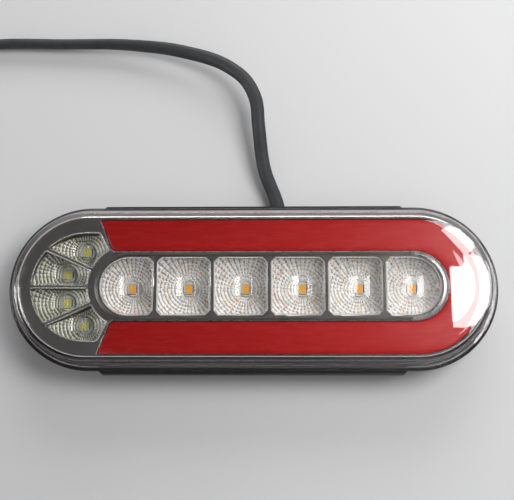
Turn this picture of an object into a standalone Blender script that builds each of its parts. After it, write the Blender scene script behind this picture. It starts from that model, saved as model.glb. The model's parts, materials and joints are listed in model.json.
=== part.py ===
"""Oval LED tail light for a trailer, as an assembly of separate pieces.

Frame: metres, +Z out through the lens, +X along the length, +Y towards the side the lead leaves from.
The origin is the centre of the flat rear face. Sizes below are in millimetres.
"""
from math import acos, atan2, ceil, cos, degrees, hypot, pi, radians, sin, sqrt

import bmesh
import bpy
from mathutils import Matrix, Vector

MM = 0.001
GAP = 0.3                # clearance between neighbouring pieces
ARC_STEPS = 28           # segments in each rounded end

# Lamp outline: every outer outline is a stadium about these two arc centres
END_X = 79.5
FLANGE_R = 40.5
FLANGE_BOTTOM = 17.2
FLANGE_TOP = 20.2
LENS_CREST = 30.6
LENS_INNER_R = 34.5

# Housing
FLOOR_TOP = 2.2
RIM_TOP = 16.7
SEAL_INNER_R = 36.9
SEAL_OUTER_R = 38.3
SEAL_SEAT = 15.0
STRIP_LEFT = -73.5
STRIP_RIGHT = 73.5
STRIP_Y = 42.0
STRIP_ROOT_Y = 38.6
STRIP_BOTTOM = 10.2
STRIP_TOP = 16.4

# Circuit board and what stands on it
BOARD_R = 33.9
BOARD_BOTTOM = 12.0
BOARD_TOP = 13.6
LED_WIDTH = 6.6
LED_R = 3.6              # the package is a disc with flats LED_WIDTH apart
LED_HEIGHT = 1.6
ON_BOARD = BOARD_TOP + GAP
SCREW_X = (-62.0, 75.0)
SCREW_Y = 25.0
SCREW_R = 1.4
SCREW_HEAD_R = 2.7
SCREW_HEAD_H = 1.6
SCREW_LENGTH = 9.0
SCREW_HOLE_END = 3.0
BOARD_BOSS_R = 3.2
REGULATOR = (-15.0, -5.0, -20.0, -11.0)      # chips under the board: x and y limits
DIODE = (32.0, 36.6, -13.4, -10.8)
DRIVER = (-36.0, -27.0, -18.0, -14.0)
REGULATOR_HEIGHT = 3.0
DIODE_HEIGHT = 2.1
DRIVER_HEIGHT = 1.6
CAPACITOR_X = -22.0
CAPACITOR_Y = 12.0
CAPACITOR_R = 4.0
CAPACITOR_HEIGHT = 7.0
CAPACITOR_CRIMP = 0.2

# Front face
BEZEL_R = 34.1
BEZEL_TOP = 25.5
GUIDE_R = 33.2
GUIDE_BOTTOM = 22.2
GUIDE_TOP = 25.3
GUIDE_INNER_R = 17.1
GUIDE_INNER_RIGHT = 78.2
GUIDE_LEFT_OUTER = -74.9
GUIDE_LEFT_INNER = -68.6
GUIDE_LEDGE = 1.0
GUIDE_CHAMFER = 1.2
PLATE_BOTTOM = 23.5      # underside of the bezel round its windows
REFLECTOR_TOP = 21.6
WINDOW_BOTTOM = 21.9
WINDOW_BASE_TOP = 23.2
WINDOW_TOP = 26.5

# Row of six cells
ROW_R = 14.6
ROW_LEFT = -60.0
ROW_RIGHT = 77.1
ROW_WALL = 0.5
CELL_START = -74.6
CELL_PITCH = 27.8
CELL_WIDTH = 26.8
CELL_CORNER = 2.8
CORNER_CUT = ((0, 1.0), (12, 0.9), (45, 0.76), (78, 0.9), (90, 1.0))   # angle and reach, in corner sizes
CELL_COUNT = 6
LED_OFFSET = 2.1         # the row's LEDs sit this far right of their cells' centres
ROW_FLOOR_R = 4.2        # round opening in each cell's floor

# Fan of four reversing sectors, radial about the row's left arc centre
FAN_INNER_R = 19.5
FAN_OUTER_R = 27.3
FAN_OUTER_X = -81.2
FAN_ANGLES = (117.5, 155.5, 180.0, 204.5, 242.5)
FAN_LEDS = ((29.1, 141.0), (32.5, 167.4), (32.5, 192.6), (29.1, 219.0))
FAN_RIB = 0.5            # from a rib's middle to a sector's edge
FAN_CORNER = 1.6
FAN_FLOOR_R = 4.2

# Rear fixings
INSERT_X = 50.0
INSERT_R = 3.5
INSERT_BORE_R = 2.1
INSERT_LENGTH = 8.0
INSERT_BOSS_R = 5.6
INSERT_BOSS_TOP = 10.4
INSERT_GROOVE = (3.2, 3.6, 4.4, 4.8)         # heights of the waist that holds it in the plastic
INSERT_WAIST = 0.5

# Lead: oval jacket of five cores, in a groove of the back
LEAD_HALF_WIDTH = 3.45
LEAD_HALF_HEIGHT = 2.55
LEAD_X = 14.5
LEAD_Z = 6.5
LEAD_ROUTE = (
    (LEAD_X, -14, LEAD_Z),
    (LEAD_X, 8, LEAD_Z),
    (LEAD_X, 26, 4.8),
    (12.4, 45, 4.6),
    (5.7, 63.5, 6.6),
    (2.6, 86, 10.4),
    (0.9, 100.8, 12),
    (-4.5, 111, 12),
    (-12.8, 118, 11.3),
    (-37, 127.8, 8.5),
    (-66, 132.8, 6),
    (-102, 134.2, 4.3),
    (-136, 134.6, 4),
    (-168, 131, 4),
)
SWING_POINT = 3          # the lead's two flexing places, as points of its route
BEND_POINT = 7
TWIST_START = 120.0      # distance along the lead where its flat side starts to turn upright
TWIST_END = 230.0
GROOVE_HALF_WIDTH = 4.6
GROOVE_ROOF = 9.9
GROOVE_WALL = 2.2
GROOVE_SKIN = 1.5
GROOVE_START = -2.6
GROOVE_END = 37.0
GROOVE_MOUTH = 46.0      # past the rim, where the groove has widened towards the lead's bend
GROOVE_FLARE_Y = 28.0
GROOVE_FLARE = (2.6, 1.0)
OPENING_HALF_WIDTH = 4.85
OPENING_HALF_HEIGHT = 3.9
GROMMET_BODY = (4.5, 3.5)
GROMMET_NOSE = (4.3, 3.3)
GROMMET_FLANGE = (5.6, 3.7)
CLAMP_Y = -7.5
CLAMP_HALF_WIDTH = 2.5
CLAMP_FOOT = 10.8        # half-length over both feet
CLAMP_FOOT_BOTTOM = 5.3
CLAMP_FOOT_TOP = 6.5
CLAMP_OVER = (4.95, 4.0)
CLAMP_UNDER = (3.8, 2.95)
CLAMP_RISE = 0.2
CLAMP_SCREW_X = 8.0      # either side of the lead
CLAMP_SCREW_R = 1.2
CLAMP_SCREW_HEAD_R = 2.2
CLAMP_SCREW_HEAD_H = 1.3
CLAMP_SCREW_LENGTH = 5.0
CLAMP_BOSS_R = 2.6
CLAMP_BOSS_TOP = 5.0
CLAMP_HOLE_END = 1.4
BOARD_CORE_PITCH = 3.2
TAIL_CORE_PITCH = 3.0
CORE_R = 0.75
CORE_RING_R = 1.6
TAIL_CORE_LENGTH = 24.0


def clear_scene():
    for item in list(bpy.data.objects):
        bpy.data.objects.remove(item, do_unlink=True)


def material(name, colour, roughness, metallic=0.0, alpha=1.0):
    found = bpy.data.materials.get(name)
    if found:
        return found
    made = bpy.data.materials.new(name)
    made.use_nodes = True
    shader = made.node_tree.nodes["Principled BSDF"]
    shader.inputs["Base Color"].default_value = (*colour, 1.0)
    shader.inputs["Roughness"].default_value = roughness
    shader.inputs["Metallic"].default_value = metallic
    shader.inputs["Alpha"].default_value = alpha
    return made


def black_plastic():
    return material("black_plastic", (0.012, 0.012, 0.013), 0.45)


def clear_plastic():
    return material("clear_plastic", (0.9, 0.92, 0.93), 0.05, alpha=0.25)


def smoked_metal():
    return material("smoked_metal", (0.08, 0.075, 0.07), 0.3, metallic=0.8)


def red_plastic():
    return material("red_plastic", (0.35, 0.015, 0.018), 0.25)


def chrome():
    return material("chrome", (0.8, 0.8, 0.8), 0.08, metallic=1.0)


def led_white():
    return material("led_white", (0.8, 0.8, 0.76), 0.4)


def led_amber():
    return material("led_amber", (0.9, 0.45, 0.08), 0.4)


def led_red():
    return material("led_red", (0.7, 0.1, 0.08), 0.4)


def rubber():
    return material("rubber", (0.02, 0.02, 0.021), 0.7)


def cable_jacket():
    return material("cable_jacket", (0.045, 0.047, 0.05), 0.5)


def steel():
    return material("steel", (0.6, 0.6, 0.6), 0.3, metallic=1.0)


def brass():
    return material("brass", (0.7, 0.5, 0.2), 0.3, metallic=1.0)


def board_white():
    return material("board_white", (0.75, 0.76, 0.74), 0.5)


def chip_black():
    return material("chip_black", (0.02, 0.02, 0.02), 0.4)


CORE_COLOURS = {
    "yellow": (0.75, 0.55, 0.03),
    "green": (0.03, 0.3, 0.06),
    "white": (0.75, 0.75, 0.73),
    "brown": (0.14, 0.05, 0.02),
    "red": (0.5, 0.02, 0.02),
}


def object_from(bm, name, finish):
    """Make one object of a bmesh whose sizes are in millimetres."""
    bmesh.ops.recalc_face_normals(bm, faces=bm.faces)
    bmesh.ops.scale(bm, vec=(MM, MM, MM), verts=bm.verts)
    mesh = bpy.data.meshes.new(name)
    bm.to_mesh(mesh)
    bm.free()
    if finish:
        mesh.materials.append(finish)
    mesh.shade_smooth()
    mesh.set_sharp_from_angle(angle=radians(35))
    item = bpy.data.objects.new(name, mesh)
    bpy.context.scene.collection.objects.link(item)
    return item


def arc(x, y, radius, start, end, steps):
    """Points of an arc about (x, y), with its angles in degrees."""
    turns = [radians(start + (end - start) * i / steps) for i in range(steps + 1)]
    return [(x + radius * cos(t), y + radius * sin(t)) for t in turns]


def circle(x, y, radius, steps=16):
    return arc(x, y, radius, 0, 360, steps)[:-1]


def stadium(radius, left=-END_X, right=END_X, steps=ARC_STEPS):
    return arc(right, 0, radius, -90, 90, steps) + arc(left, 0, radius, 90, 270, steps)


def skin(bm, rings, closed=False):
    """Join rings of equal size into one surface, with a face over each end unless it closes on itself."""
    loops = [[bm.verts.new(point) for point in ring] for ring in rings]
    pairs = list(zip(loops, loops[1:]))
    if closed:
        pairs.append((loops[-1], loops[0]))
    else:
        bm.faces.new(loops[0])
        bm.faces.new(loops[-1])
    size = len(loops[0])
    for low, high in pairs:
        for i in range(size):
            j = (i + 1) % size
            bm.faces.new((low[i], low[j], high[j], high[i]))


def lofted(name, rings, finish, closed=False):
    bm = bmesh.new()
    skin(bm, rings, closed)
    return object_from(bm, name, finish)


def swept_stadium(name, profile, finish, closed=False):
    """Carry a profile of (radius, z) points round the lamp's outline."""
    rings = [[(x, y, z) for x, y in stadium(radius)] for radius, z in profile]
    return lofted(name, rings, finish, closed)


def turned(name, profile, x, y, finish, closed=False, steps=12):
    """Turn a profile of (radius, z) points about a vertical axis."""
    rings = [[(px, py, z) for px, py in circle(x, y, radius, steps)] for radius, z in profile]
    return lofted(name, rings, finish, closed)


def slab(name, loops, bottom, top, finish, lower_loops=None):
    """Solid between two flat faces, each with its outline first and then its holes."""
    bm = bmesh.new()
    rims = {top: [], bottom: []}
    for high, low in zip(loops, lower_loops or loops):
        upper = [bm.verts.new((x, y, top)) for x, y in high]
        lower = [bm.verts.new((x, y, bottom)) for x, y in low]
        for i in range(len(upper)):
            j = (i + 1) % len(upper)
            wall = bm.faces.new((lower[i], lower[j], upper[j], upper[i]))
            rims[bottom].append(wall.edges[0])
            rims[top].append(wall.edges[2])
    for edges in rims.values():
        bmesh.ops.triangle_fill(bm, use_beauty=True, edges=edges)
    return object_from(bm, name, finish)


def boxes(name, spans, finish=None):
    """One or more separate upright boxes, each given as (x0, x1, y0, y1, z0, z1)."""
    bm = bmesh.new()
    for x0, x1, y0, y1, z0, z1 in spans:
        corners = ((x0, y0), (x1, y0), (x1, y1), (x0, y1))
        skin(bm, [[(x, y, z) for x, y in corners] for z in (z0, z1)])
    return object_from(bm, name, finish)


def cylinders(name, spans, steps=16):
    """Separate upright cylinders for a Boolean, each given as (x, y, radius, z0, z1)."""
    bm = bmesh.new()
    for x, y, radius, z0, z1 in spans:
        skin(bm, [[(px, py, z) for px, py in circle(x, y, radius, steps)] for z in (z0, z1)])
    return object_from(bm, name, None)


def combine(target, tool, operation):
    """Union with or difference by a tool, which is left as a hidden wire guide."""
    step = target.modifiers.new(tool.name, "BOOLEAN")
    step.operation = operation
    step.solver = "EXACT"
    step.object = tool
    tool.hide_render = True
    tool.display_type = "WIRE"


def cell_bounds(index):
    left = CELL_START + index * CELL_PITCH
    right = left + CELL_WIDTH if index < CELL_COUNT - 1 else ROW_RIGHT + ROW_R
    return left, right


def cell_outline(index, inset=0.0):
    """Mouth of one cell of the row: cut corners, and a round end on the first and last."""
    left, right = cell_bounds(index)
    half = ROW_R - inset
    corner = CELL_CORNER - inset
    if index == CELL_COUNT - 1:
        outline = arc(ROW_RIGHT, 0, half, -90, 90, 12)
    else:
        x = right - inset - corner
        outline = cut_corner(x, corner - half, corner, -90) + cut_corner(x, half - corner, corner, 0)
    if index == 0:
        return outline + arc(ROW_LEFT, 0, half, 90, 270, 12)
    x = left + inset + corner
    return outline + cut_corner(x, half - corner, corner, 90) + cut_corner(x, corner - half, corner, 180)


def cut_corner(x, y, size, start):
    """Corner between two square sides, cut across and eased at both ends of the cut."""
    points = []
    for turn, reach in CORNER_CUT:
        angle = radians(start + turn)
        points.append((x + size * reach * cos(angle), y + size * reach * sin(angle)))
    return points


def row_led_x(index):
    left, right = cell_bounds(index)
    return (left + right) / 2 + LED_OFFSET * (index < CELL_COUNT - 1)


def divided(outline, longest):
    """The same outline, with points added so that no side is longer than the limit."""
    points = []
    for (x0, y0), (x1, y1) in zip(outline, outline[1:] + outline[:1]):
        steps = ceil(hypot(x1 - x0, y1 - y0) / longest)
        points += [(x0 + (x1 - x0) * i / steps, y0 + (y1 - y0) * i / steps) for i in range(steps)]
    return points


def gathered(outline, x, y, radius):
    """Round opening with one point facing each point of an outline."""
    turns = [atan2(py - y, px - x) for px, py in outline]
    return [(x + radius * cos(t), y + radius * sin(t)) for t in turns]


def fan_reach(angle, radius):
    """Distance from the fan's centre to its outer outline, in a direction given in degrees."""
    step = FAN_OUTER_X - ROW_LEFT
    turn = radians(angle)
    along = step * cos(turn)
    reach = along + sqrt(radius ** 2 - step ** 2 + along ** 2)
    if ROW_LEFT + reach * cos(turn) > FAN_OUTER_X:
        reach = radius / abs(sin(turn))
    return reach


def softened(outline, radius):
    """The same outline with its sharp corners cut back in three short sides."""
    points = []
    corners = zip(outline[-1:] + outline[:-1], outline, outline[1:] + outline[:1])
    for before, corner, after in corners:
        middle = Vector(corner)
        back = Vector(before) - middle
        ahead = Vector(after) - middle
        if (-back).angle(ahead) < radians(35):
            points.append(corner)
            continue
        first = middle + back.normalized() * min(radius, back.length * 0.45)
        last = middle + ahead.normalized() * min(radius, ahead.length * 0.45)
        for t in (0, 0.33, 0.67, 1):
            points.append(tuple(first * (1 - t) ** 2 + middle * 2 * t * (1 - t) + last * t**2))
    return points


def fan_outline(start, end, inset, steps=6):
    """Part of the fan between two directions, held in from its ribs by the inset."""
    inner = FAN_INNER_R + inset
    outline = []
    for i in range(steps + 1):
        angle = start + (end - start) * i / steps
        reach = fan_reach(angle, FAN_OUTER_R - inset)
        outline.append((reach, angle))
    for i in range(steps + 1):
        outline.append((inner, end + (start - end) * i / steps))
    points = []
    for reach, angle in outline:
        middle = (start + end) / 2
        side = 1 if angle < middle else -1
        x = ROW_LEFT + reach * cos(radians(angle))
        y = reach * sin(radians(angle))
        if angle in (start, end):
            x -= side * inset * sin(radians(angle))
            y += side * inset * cos(radians(angle))
        points.append((x, y))
    return points


def fan_led_place(index):
    reach, angle = FAN_LEDS[index]
    return ROW_LEFT + reach * cos(radians(angle)), reach * sin(radians(angle))


def guide_outline(grow, ledge=0.0):
    """C outline of the red guide; it is widened by grow and narrowed by ledge."""
    outer = GUIDE_R + grow - ledge
    inner = GUIDE_INNER_R - grow + ledge
    shift = ledge - grow
    top = arc(END_X, 0, outer, -90, 90, ARC_STEPS)
    hollow = arc(GUIDE_INNER_RIGHT, 0, inner, 90, -90, ARC_STEPS)
    left_outer = GUIDE_LEFT_OUTER + shift
    left_inner = GUIDE_LEFT_INNER + shift
    cut = GUIDE_CHAMFER
    upper_end = [(left_outer, outer), (left_inner - cut * 0.4, inner + cut), (left_inner + cut, inner)]
    lower_end = [(x, -y) for x, y in reversed(upper_end)]
    return top + upper_end + hollow + lower_end


def make_housing():
    profile = (
        (37.0, 0),
        (37.8, 0.8),
        (39.0, 10.0),
        (39.0, 13.5),
        (40.0, 14.2),
        (40.0, RIM_TOP),
        (SEAL_OUTER_R, RIM_TOP),
        (SEAL_OUTER_R, SEAL_SEAT),
        (SEAL_INNER_R, SEAL_SEAT),
        (SEAL_INNER_R, RIM_TOP),
        (36.1, RIM_TOP),
        (35.6, FLOOR_TOP),
    )
    housing = swept_stadium("base_housing", profile, black_plastic())
    add_side_strips(housing)
    add_bosses(housing)
    cut_groove(housing)
    return housing


def add_side_strips(housing):
    depth = STRIP_Y - STRIP_ROOT_Y
    for side, name in ((1, "strip_far"), (-1, "strip_near")):
        outline = [
            (STRIP_LEFT, side * STRIP_Y),
            (STRIP_RIGHT, side * STRIP_Y),
            (STRIP_RIGHT + depth, side * STRIP_ROOT_Y),
            (STRIP_LEFT - depth, side * STRIP_ROOT_Y),
        ]
        combine(housing, slab(name, [outline], STRIP_BOTTOM, STRIP_TOP, None), "UNION")


def board_screw_places():
    return [(x, side * SCREW_Y) for x in SCREW_X for side in (1, -1)]


def clamp_screw_places():
    return [(LEAD_X + side * CLAMP_SCREW_X, CLAMP_Y) for side in (-1, 1)]


def add_bosses(housing):
    root = FLOOR_TOP / 2
    bosses = [(x, y, BOARD_BOSS_R, root, BOARD_BOTTOM - GAP) for x, y in board_screw_places()]
    bosses += [(x, y, CLAMP_BOSS_R, root, CLAMP_BOSS_TOP) for x, y in clamp_screw_places()]
    bosses += [(side * INSERT_X, 0, INSERT_BOSS_R, root, INSERT_BOSS_TOP) for side in (-1, 1)]
    combine(housing, cylinders("bosses", bosses), "UNION")
    holes = [(x, y, SCREW_R + GAP, SCREW_HOLE_END, BOARD_BOTTOM + 1) for x, y in board_screw_places()]
    clamp_hole = (CLAMP_SCREW_R + GAP, CLAMP_HOLE_END, CLAMP_BOSS_TOP + 1)
    holes += [(x, y, *clamp_hole) for x, y in clamp_screw_places()]
    holes += [(side * INSERT_X, 0, INSERT_R + GAP, -1, INSERT_LENGTH + GAP) for side in (-1, 1)]
    combine(housing, cylinders("boss_holes", holes), "DIFFERENCE")


def cut_groove(housing):
    """Channel in the back for the lead, walled off inside, with an opening for the grommet."""
    left = LEAD_X - GROOVE_HALF_WIDTH
    right = LEAD_X + GROOVE_HALF_WIDTH
    sides = (left - GROOVE_WALL, right + GROOVE_WALL)
    span = (*sides, GROOVE_START, GROOVE_END, FLOOR_TOP / 2, GROOVE_ROOF + GROOVE_SKIN)
    combine(housing, boxes("groove_body", [span]), "UNION")
    outline = [
        (left, 0),
        (right, 0),
        (right, GROOVE_FLARE_Y),
        (right + GROOVE_FLARE[1], GROOVE_MOUTH),
        (left - GROOVE_FLARE[0], GROOVE_MOUTH),
        (left, GROOVE_FLARE_Y),
    ]
    combine(housing, slab("groove", [outline], -2, GROOVE_ROOF, None), "DIFFERENCE")
    rings = [oval_ring(y, OPENING_HALF_WIDTH, OPENING_HALF_HEIGHT) for y in (-4, 1)]
    combine(housing, lofted("grommet_opening", rings, None), "DIFFERENCE")


def oval_ring(y, half_width, half_height, steps=16):
    return [(LEAD_X + half_width * x, y, LEAD_Z + half_height * z) for x, z in circle(0, 0, 1, steps)]


def make_outer_lens():
    profile = (
        (22.0, 28.3),
        (33.0, 28.0),
        (LENS_INNER_R, 26.8),
        (LENS_INNER_R, FLANGE_BOTTOM),
        (FLANGE_R - 0.6, FLANGE_BOTTOM),
        (FLANGE_R, FLANGE_BOTTOM + 0.6),
        (FLANGE_R, FLANGE_TOP - 1.0),
        (FLANGE_R - 1.0, FLANGE_TOP),
        (37.0, FLANGE_TOP),
        (36.3, 28.4),
        (35.6, 29.6),
        (34.2, 30.1),
        (20.0, LENS_CREST),
    )
    return swept_stadium("outer_lens", profile, clear_plastic())


def make_seal():
    inner = SEAL_INNER_R + GAP
    outer = SEAL_OUTER_R - GAP
    low = SEAL_SEAT + GAP
    high = FLANGE_BOTTOM - GAP
    profile = ((inner, low), (outer, low), (outer, high), (inner, high))
    return swept_stadium("lens_seal", profile, rubber(), closed=True)


def sector_outline(index, inset):
    outline = fan_outline(FAN_ANGLES[index], FAN_ANGLES[index + 1], FAN_RIB + inset)
    return softened(outline, FAN_CORNER)


def make_bezel():
    """Deep carrier with a window plate on top; the optics fill its two pockets from below."""
    row_pocket = stadium(ROW_R + ROW_WALL + GAP, ROW_LEFT, ROW_RIGHT)
    fan_pocket = fan_outline(FAN_ANGLES[0], FAN_ANGLES[-1], -GAP, 16)
    bezel = slab("bezel_trim", [stadium(BEZEL_R)], ON_BOARD, BEZEL_TOP, smoked_metal())
    for name, outline in (("row_pocket", row_pocket), ("fan_pocket", fan_pocket)):
        combine(bezel, slab(name, [outline], ON_BOARD - 1, PLATE_BOTTOM, None), "DIFFERENCE")
    windows = [cell_outline(i) for i in range(CELL_COUNT)] + [sector_outline(i, 0) for i in range(4)]
    for i, outline in enumerate(windows):
        window = slab(f"window_{i + 1}", [outline], PLATE_BOTTOM - 1, BEZEL_TOP + 1, None)
        combine(bezel, window, "DIFFERENCE")
    seat = slab("guide_seat", [guide_outline(GAP)], GUIDE_BOTTOM - GAP, BEZEL_TOP + 1, None)
    combine(bezel, seat, "DIFFERENCE")
    light_slot = slab("light_slot", [guide_outline(0, GUIDE_LEDGE)], ON_BOARD - 1, GUIDE_BOTTOM, None)
    combine(bezel, light_slot, "DIFFERENCE")
    return bezel


def make_red_guide():
    return slab("red_light_guide", [guide_outline(0)], GUIDE_BOTTOM, GUIDE_TOP, red_plastic())


def make_row_reflector():
    mouths = [divided(cell_outline(i, 0.2), 5.0) for i in range(CELL_COUNT)]
    floors = [gathered(mouth, row_led_x(i), 0, ROW_FLOOR_R) for i, mouth in enumerate(mouths)]
    rim = stadium(ROW_R + ROW_WALL, ROW_LEFT, ROW_RIGHT)
    return slab("row_reflector", [rim] + mouths, ON_BOARD, REFLECTOR_TOP, chrome(), [rim] + floors)


def make_reverse_reflector():
    mouths = []
    floors = []
    for i in range(4):
        mouth = divided(sector_outline(i, 0.2), 5.0)
        mouths.append(mouth)
        floors.append(gathered(mouth, *fan_led_place(i), FAN_FLOOR_R))
    rim = fan_outline(FAN_ANGLES[0], FAN_ANGLES[-1], 0, 16)
    return slab("reverse_reflector", [rim] + mouths, ON_BOARD, REFLECTOR_TOP, chrome(), [rim] + floors)


def make_inner_windows():
    """Clear mouldings with a base under the bezel's plate and a pad through each window."""
    row_pads = [cell_outline(i, GAP) for i in range(CELL_COUNT)]
    make_inner_lens("row_inner_lens", stadium(ROW_R + 0.2, ROW_LEFT, ROW_RIGHT), row_pads)
    fan_pads = [sector_outline(i, GAP) for i in range(4)]
    make_inner_lens("reverse_inner_lens", fan_outline(FAN_ANGLES[0], FAN_ANGLES[-1], 0.2, 16), fan_pads)


def make_inner_lens(name, base, pads):
    lens = slab(name, [base], WINDOW_BOTTOM, WINDOW_BASE_TOP, clear_plastic())
    for i, outline in enumerate(pads):
        pad = slab(f"{name}_pad_{i + 1}", [outline], WINDOW_BASE_TOP - 0.5, WINDOW_TOP, None)
        combine(lens, pad, "UNION")


def make_board():
    holes = [circle(x, y, SCREW_R + 0.6, 12) for x, y in board_screw_places()]
    slab("circuit_board", [stadium(BOARD_R)] + holes, BOARD_BOTTOM, BOARD_TOP, board_white())


def make_screw(name, x, y, seat, length, radius, head_radius, head_height):
    profile = (
        (radius * 0.6, seat - length),
        (radius, seat - length + radius),
        (radius, seat),
        (head_radius, seat),
        (head_radius, seat + head_height * 0.6),
        (head_radius * 0.7, seat + head_height),
    )
    return turned(name, profile, x, y, steel(), steps=10)


def make_led(name, x, y, finish):
    """Disc package with two flats, its top edge drawn in a little."""
    flat = degrees(acos(LED_WIDTH / 2 / LED_R))
    outline = arc(0, 0, LED_R, flat, 180 - flat, 6) + arc(0, 0, LED_R, 180 + flat, 360 - flat, 6)
    rings = []
    for scale, height in ((1, 0), (1, LED_HEIGHT * 0.75), (0.92, LED_HEIGHT)):
        rings.append([(x + px * scale, y + py * scale, ON_BOARD + height) for px, py in outline])
    return lofted(name, rings, finish)


def make_leds():
    for i in range(CELL_COUNT):
        make_led(f"amber_led_{i + 1}", row_led_x(i), 0, led_amber())
    for i in range(4):
        make_led(f"white_led_{i + 1}", *fan_led_place(i), led_white())
    middle = (GUIDE_R + GUIDE_INNER_R) / 2
    places = [(x, side * middle) for side in (1, -1) for x in (-40, 0, 40)]
    places.append(((END_X + GUIDE_R + GUIDE_INNER_RIGHT + GUIDE_INNER_R) / 2, 0))
    for i, (x, y) in enumerate(places):
        make_led(f"red_led_{i + 1}", x, y, led_red())


def make_driver_parts():
    top = BOARD_BOTTOM - GAP
    boxes("voltage_regulator", [(*REGULATOR, top - REGULATOR_HEIGHT, top)], chip_black())
    boxes("polarity_diode", [(*DIODE, top - DIODE_HEIGHT, top)], chip_black())
    boxes("driver_chip", [(*DRIVER, top - DRIVER_HEIGHT, top)], chip_black())
    base = top - CAPACITOR_HEIGHT
    profile = (
        (CAPACITOR_R * 0.9, base),
        (CAPACITOR_R, base + CAPACITOR_R * 0.1),
        (CAPACITOR_R, top - CAPACITOR_CRIMP * 6),
        (CAPACITOR_R - CAPACITOR_CRIMP, top - CAPACITOR_CRIMP * 5),
        (CAPACITOR_R, top - CAPACITOR_CRIMP * 4),
        (CAPACITOR_R, top),
    )
    turned("smoothing_capacitor", profile, CAPACITOR_X, CAPACITOR_Y, steel(), steps=16)


def make_mounting_inserts():
    for side, name in ((-1, "mounting_insert_left"), (1, "mounting_insert_right")):
        profile = (
            (INSERT_BORE_R, 0),
            (INSERT_R, 0),
            (INSERT_R, INSERT_GROOVE[0]),
            (INSERT_R - INSERT_WAIST, INSERT_GROOVE[1]),
            (INSERT_R - INSERT_WAIST, INSERT_GROOVE[2]),
            (INSERT_R, INSERT_GROOVE[3]),
            (INSERT_R, INSERT_LENGTH),
            (INSERT_BORE_R, INSERT_LENGTH),
        )
        turned(name, profile, side * INSERT_X, 0, brass(), closed=True, steps=16)


def lead_line(spacing=3.5):
    """Smooth line through the lead's route, with the distance along it of every route point."""
    route = [Vector(point) for point in LEAD_ROUTE]
    gaps = [(b - a).length for a, b in zip(route, route[1:])]
    slopes = [(route[1] - route[0]) / gaps[0]]
    for i in range(1, len(route) - 1):
        before = (route[i] - route[i - 1]) / gaps[i - 1]
        after = (route[i + 1] - route[i]) / gaps[i]
        slopes.append((before * gaps[i] + after * gaps[i - 1]) / (gaps[i - 1] + gaps[i]))
    slopes.append((route[-1] - route[-2]) / gaps[-1])
    line = [route[0]]
    marks = [0.0]
    travelled = 0.0
    for i, gap in enumerate(gaps):
        steps = ceil(gap / spacing)
        for k in range(1, steps + 1):
            t = k / steps
            point = route[i] * (2 * t**3 - 3 * t**2 + 1) + route[i + 1] * (3 * t**2 - 2 * t**3)
            point += slopes[i] * gap * (t**3 - 2 * t**2 + t) + slopes[i + 1] * gap * (t**3 - t**2)
            travelled += (point - line[-1]).length
            line.append(point)
        marks.append(travelled)
    return line, marks


def point_at(line, distance):
    """Point and direction at a distance along the line."""
    left = distance
    for a, b in zip(line, line[1:]):
        length = (b - a).length
        if left <= length or b is line[-1]:
            return a.lerp(b, left / length), (b - a).normalized()
        left -= length


def lead_ring(line, distance, scale=1.0, steps=10):
    """Oval section of the jacket; its wide side lies flat at the lamp and stands up further out."""
    centre, ahead = point_at(line, distance)
    sideways = ahead.cross(Vector((0, 0, 1))).normalized()
    upwards = sideways.cross(ahead)
    share = min(max((distance - TWIST_START) / (TWIST_END - TWIST_START), 0), 1)
    roll = radians(90) * share * share * (3 - 2 * share)
    wide = (sideways * cos(roll) + upwards * sin(roll)) * LEAD_HALF_WIDTH * scale
    tall = (upwards * cos(roll) - sideways * sin(roll)) * LEAD_HALF_HEIGHT * scale
    return [centre + wide * x + tall * y for x, y in circle(0, 0, 1, steps)]


def lead_piece(name, line, start, end, rounded):
    """Length of jacket; a rounded start is a nose about the flexing axis at start."""
    rings = []
    if rounded:
        for back in (0.99, 0.85, 0.5):
            place = start - LEAD_HALF_WIDTH * back
            rings.append(lead_ring(line, place, sqrt(1 - back * back)))
    count = ceil((end - start) / 4.5)
    for i in range(count + 1):
        rings.append(lead_ring(line, start + (end - start) * i / count))
    return lofted(name, rings, cable_jacket())


def place_origin(item, point):
    """Put an object's origin on its flexing axis without moving its shape."""
    centre = point * MM
    item.data.transform(Matrix.Translation(-centre))
    item.location = centre


def make_lead():
    line, marks = lead_line()
    swing = marks[SWING_POINT]
    bend = marks[BEND_POINT]
    clearance = LEAD_HALF_WIDTH + GAP
    lead_piece("lead_exit", line, 0, swing - clearance, False)
    middle = lead_piece("lead_middle", line, swing, bend - clearance, True)
    place_origin(middle, point_at(line, swing)[0])
    tail = lead_piece("lead_tail", line, bend, marks[-1], True)
    place_origin(tail, point_at(line, bend)[0])
    make_tail_cores(line, marks[-1])


def core_tube(name, points, colour):
    """Thin insulated core along a few points."""
    rings = []
    for i, point in enumerate(points):
        ahead = (points[min(i + 1, len(points) - 1)] - points[max(i - 1, 0)]).normalized()
        side = ahead.cross(Vector((0.3, 0.2, 1))).normalized()
        up = side.cross(ahead)
        rings.append([point + (side * x + up * y) * CORE_R for x, y in circle(0, 0, 1, 6)])
    return lofted(name, rings, material("core_" + colour, CORE_COLOURS[colour], 0.45))


def core_offsets():
    """Places of the five cores in the jacket, from one side to the other."""
    turns = [radians(90 + 72 * k) for k in range(5)]
    return sorted((CORE_RING_R * cos(turn), CORE_RING_R * sin(turn)) for turn in turns)


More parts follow.
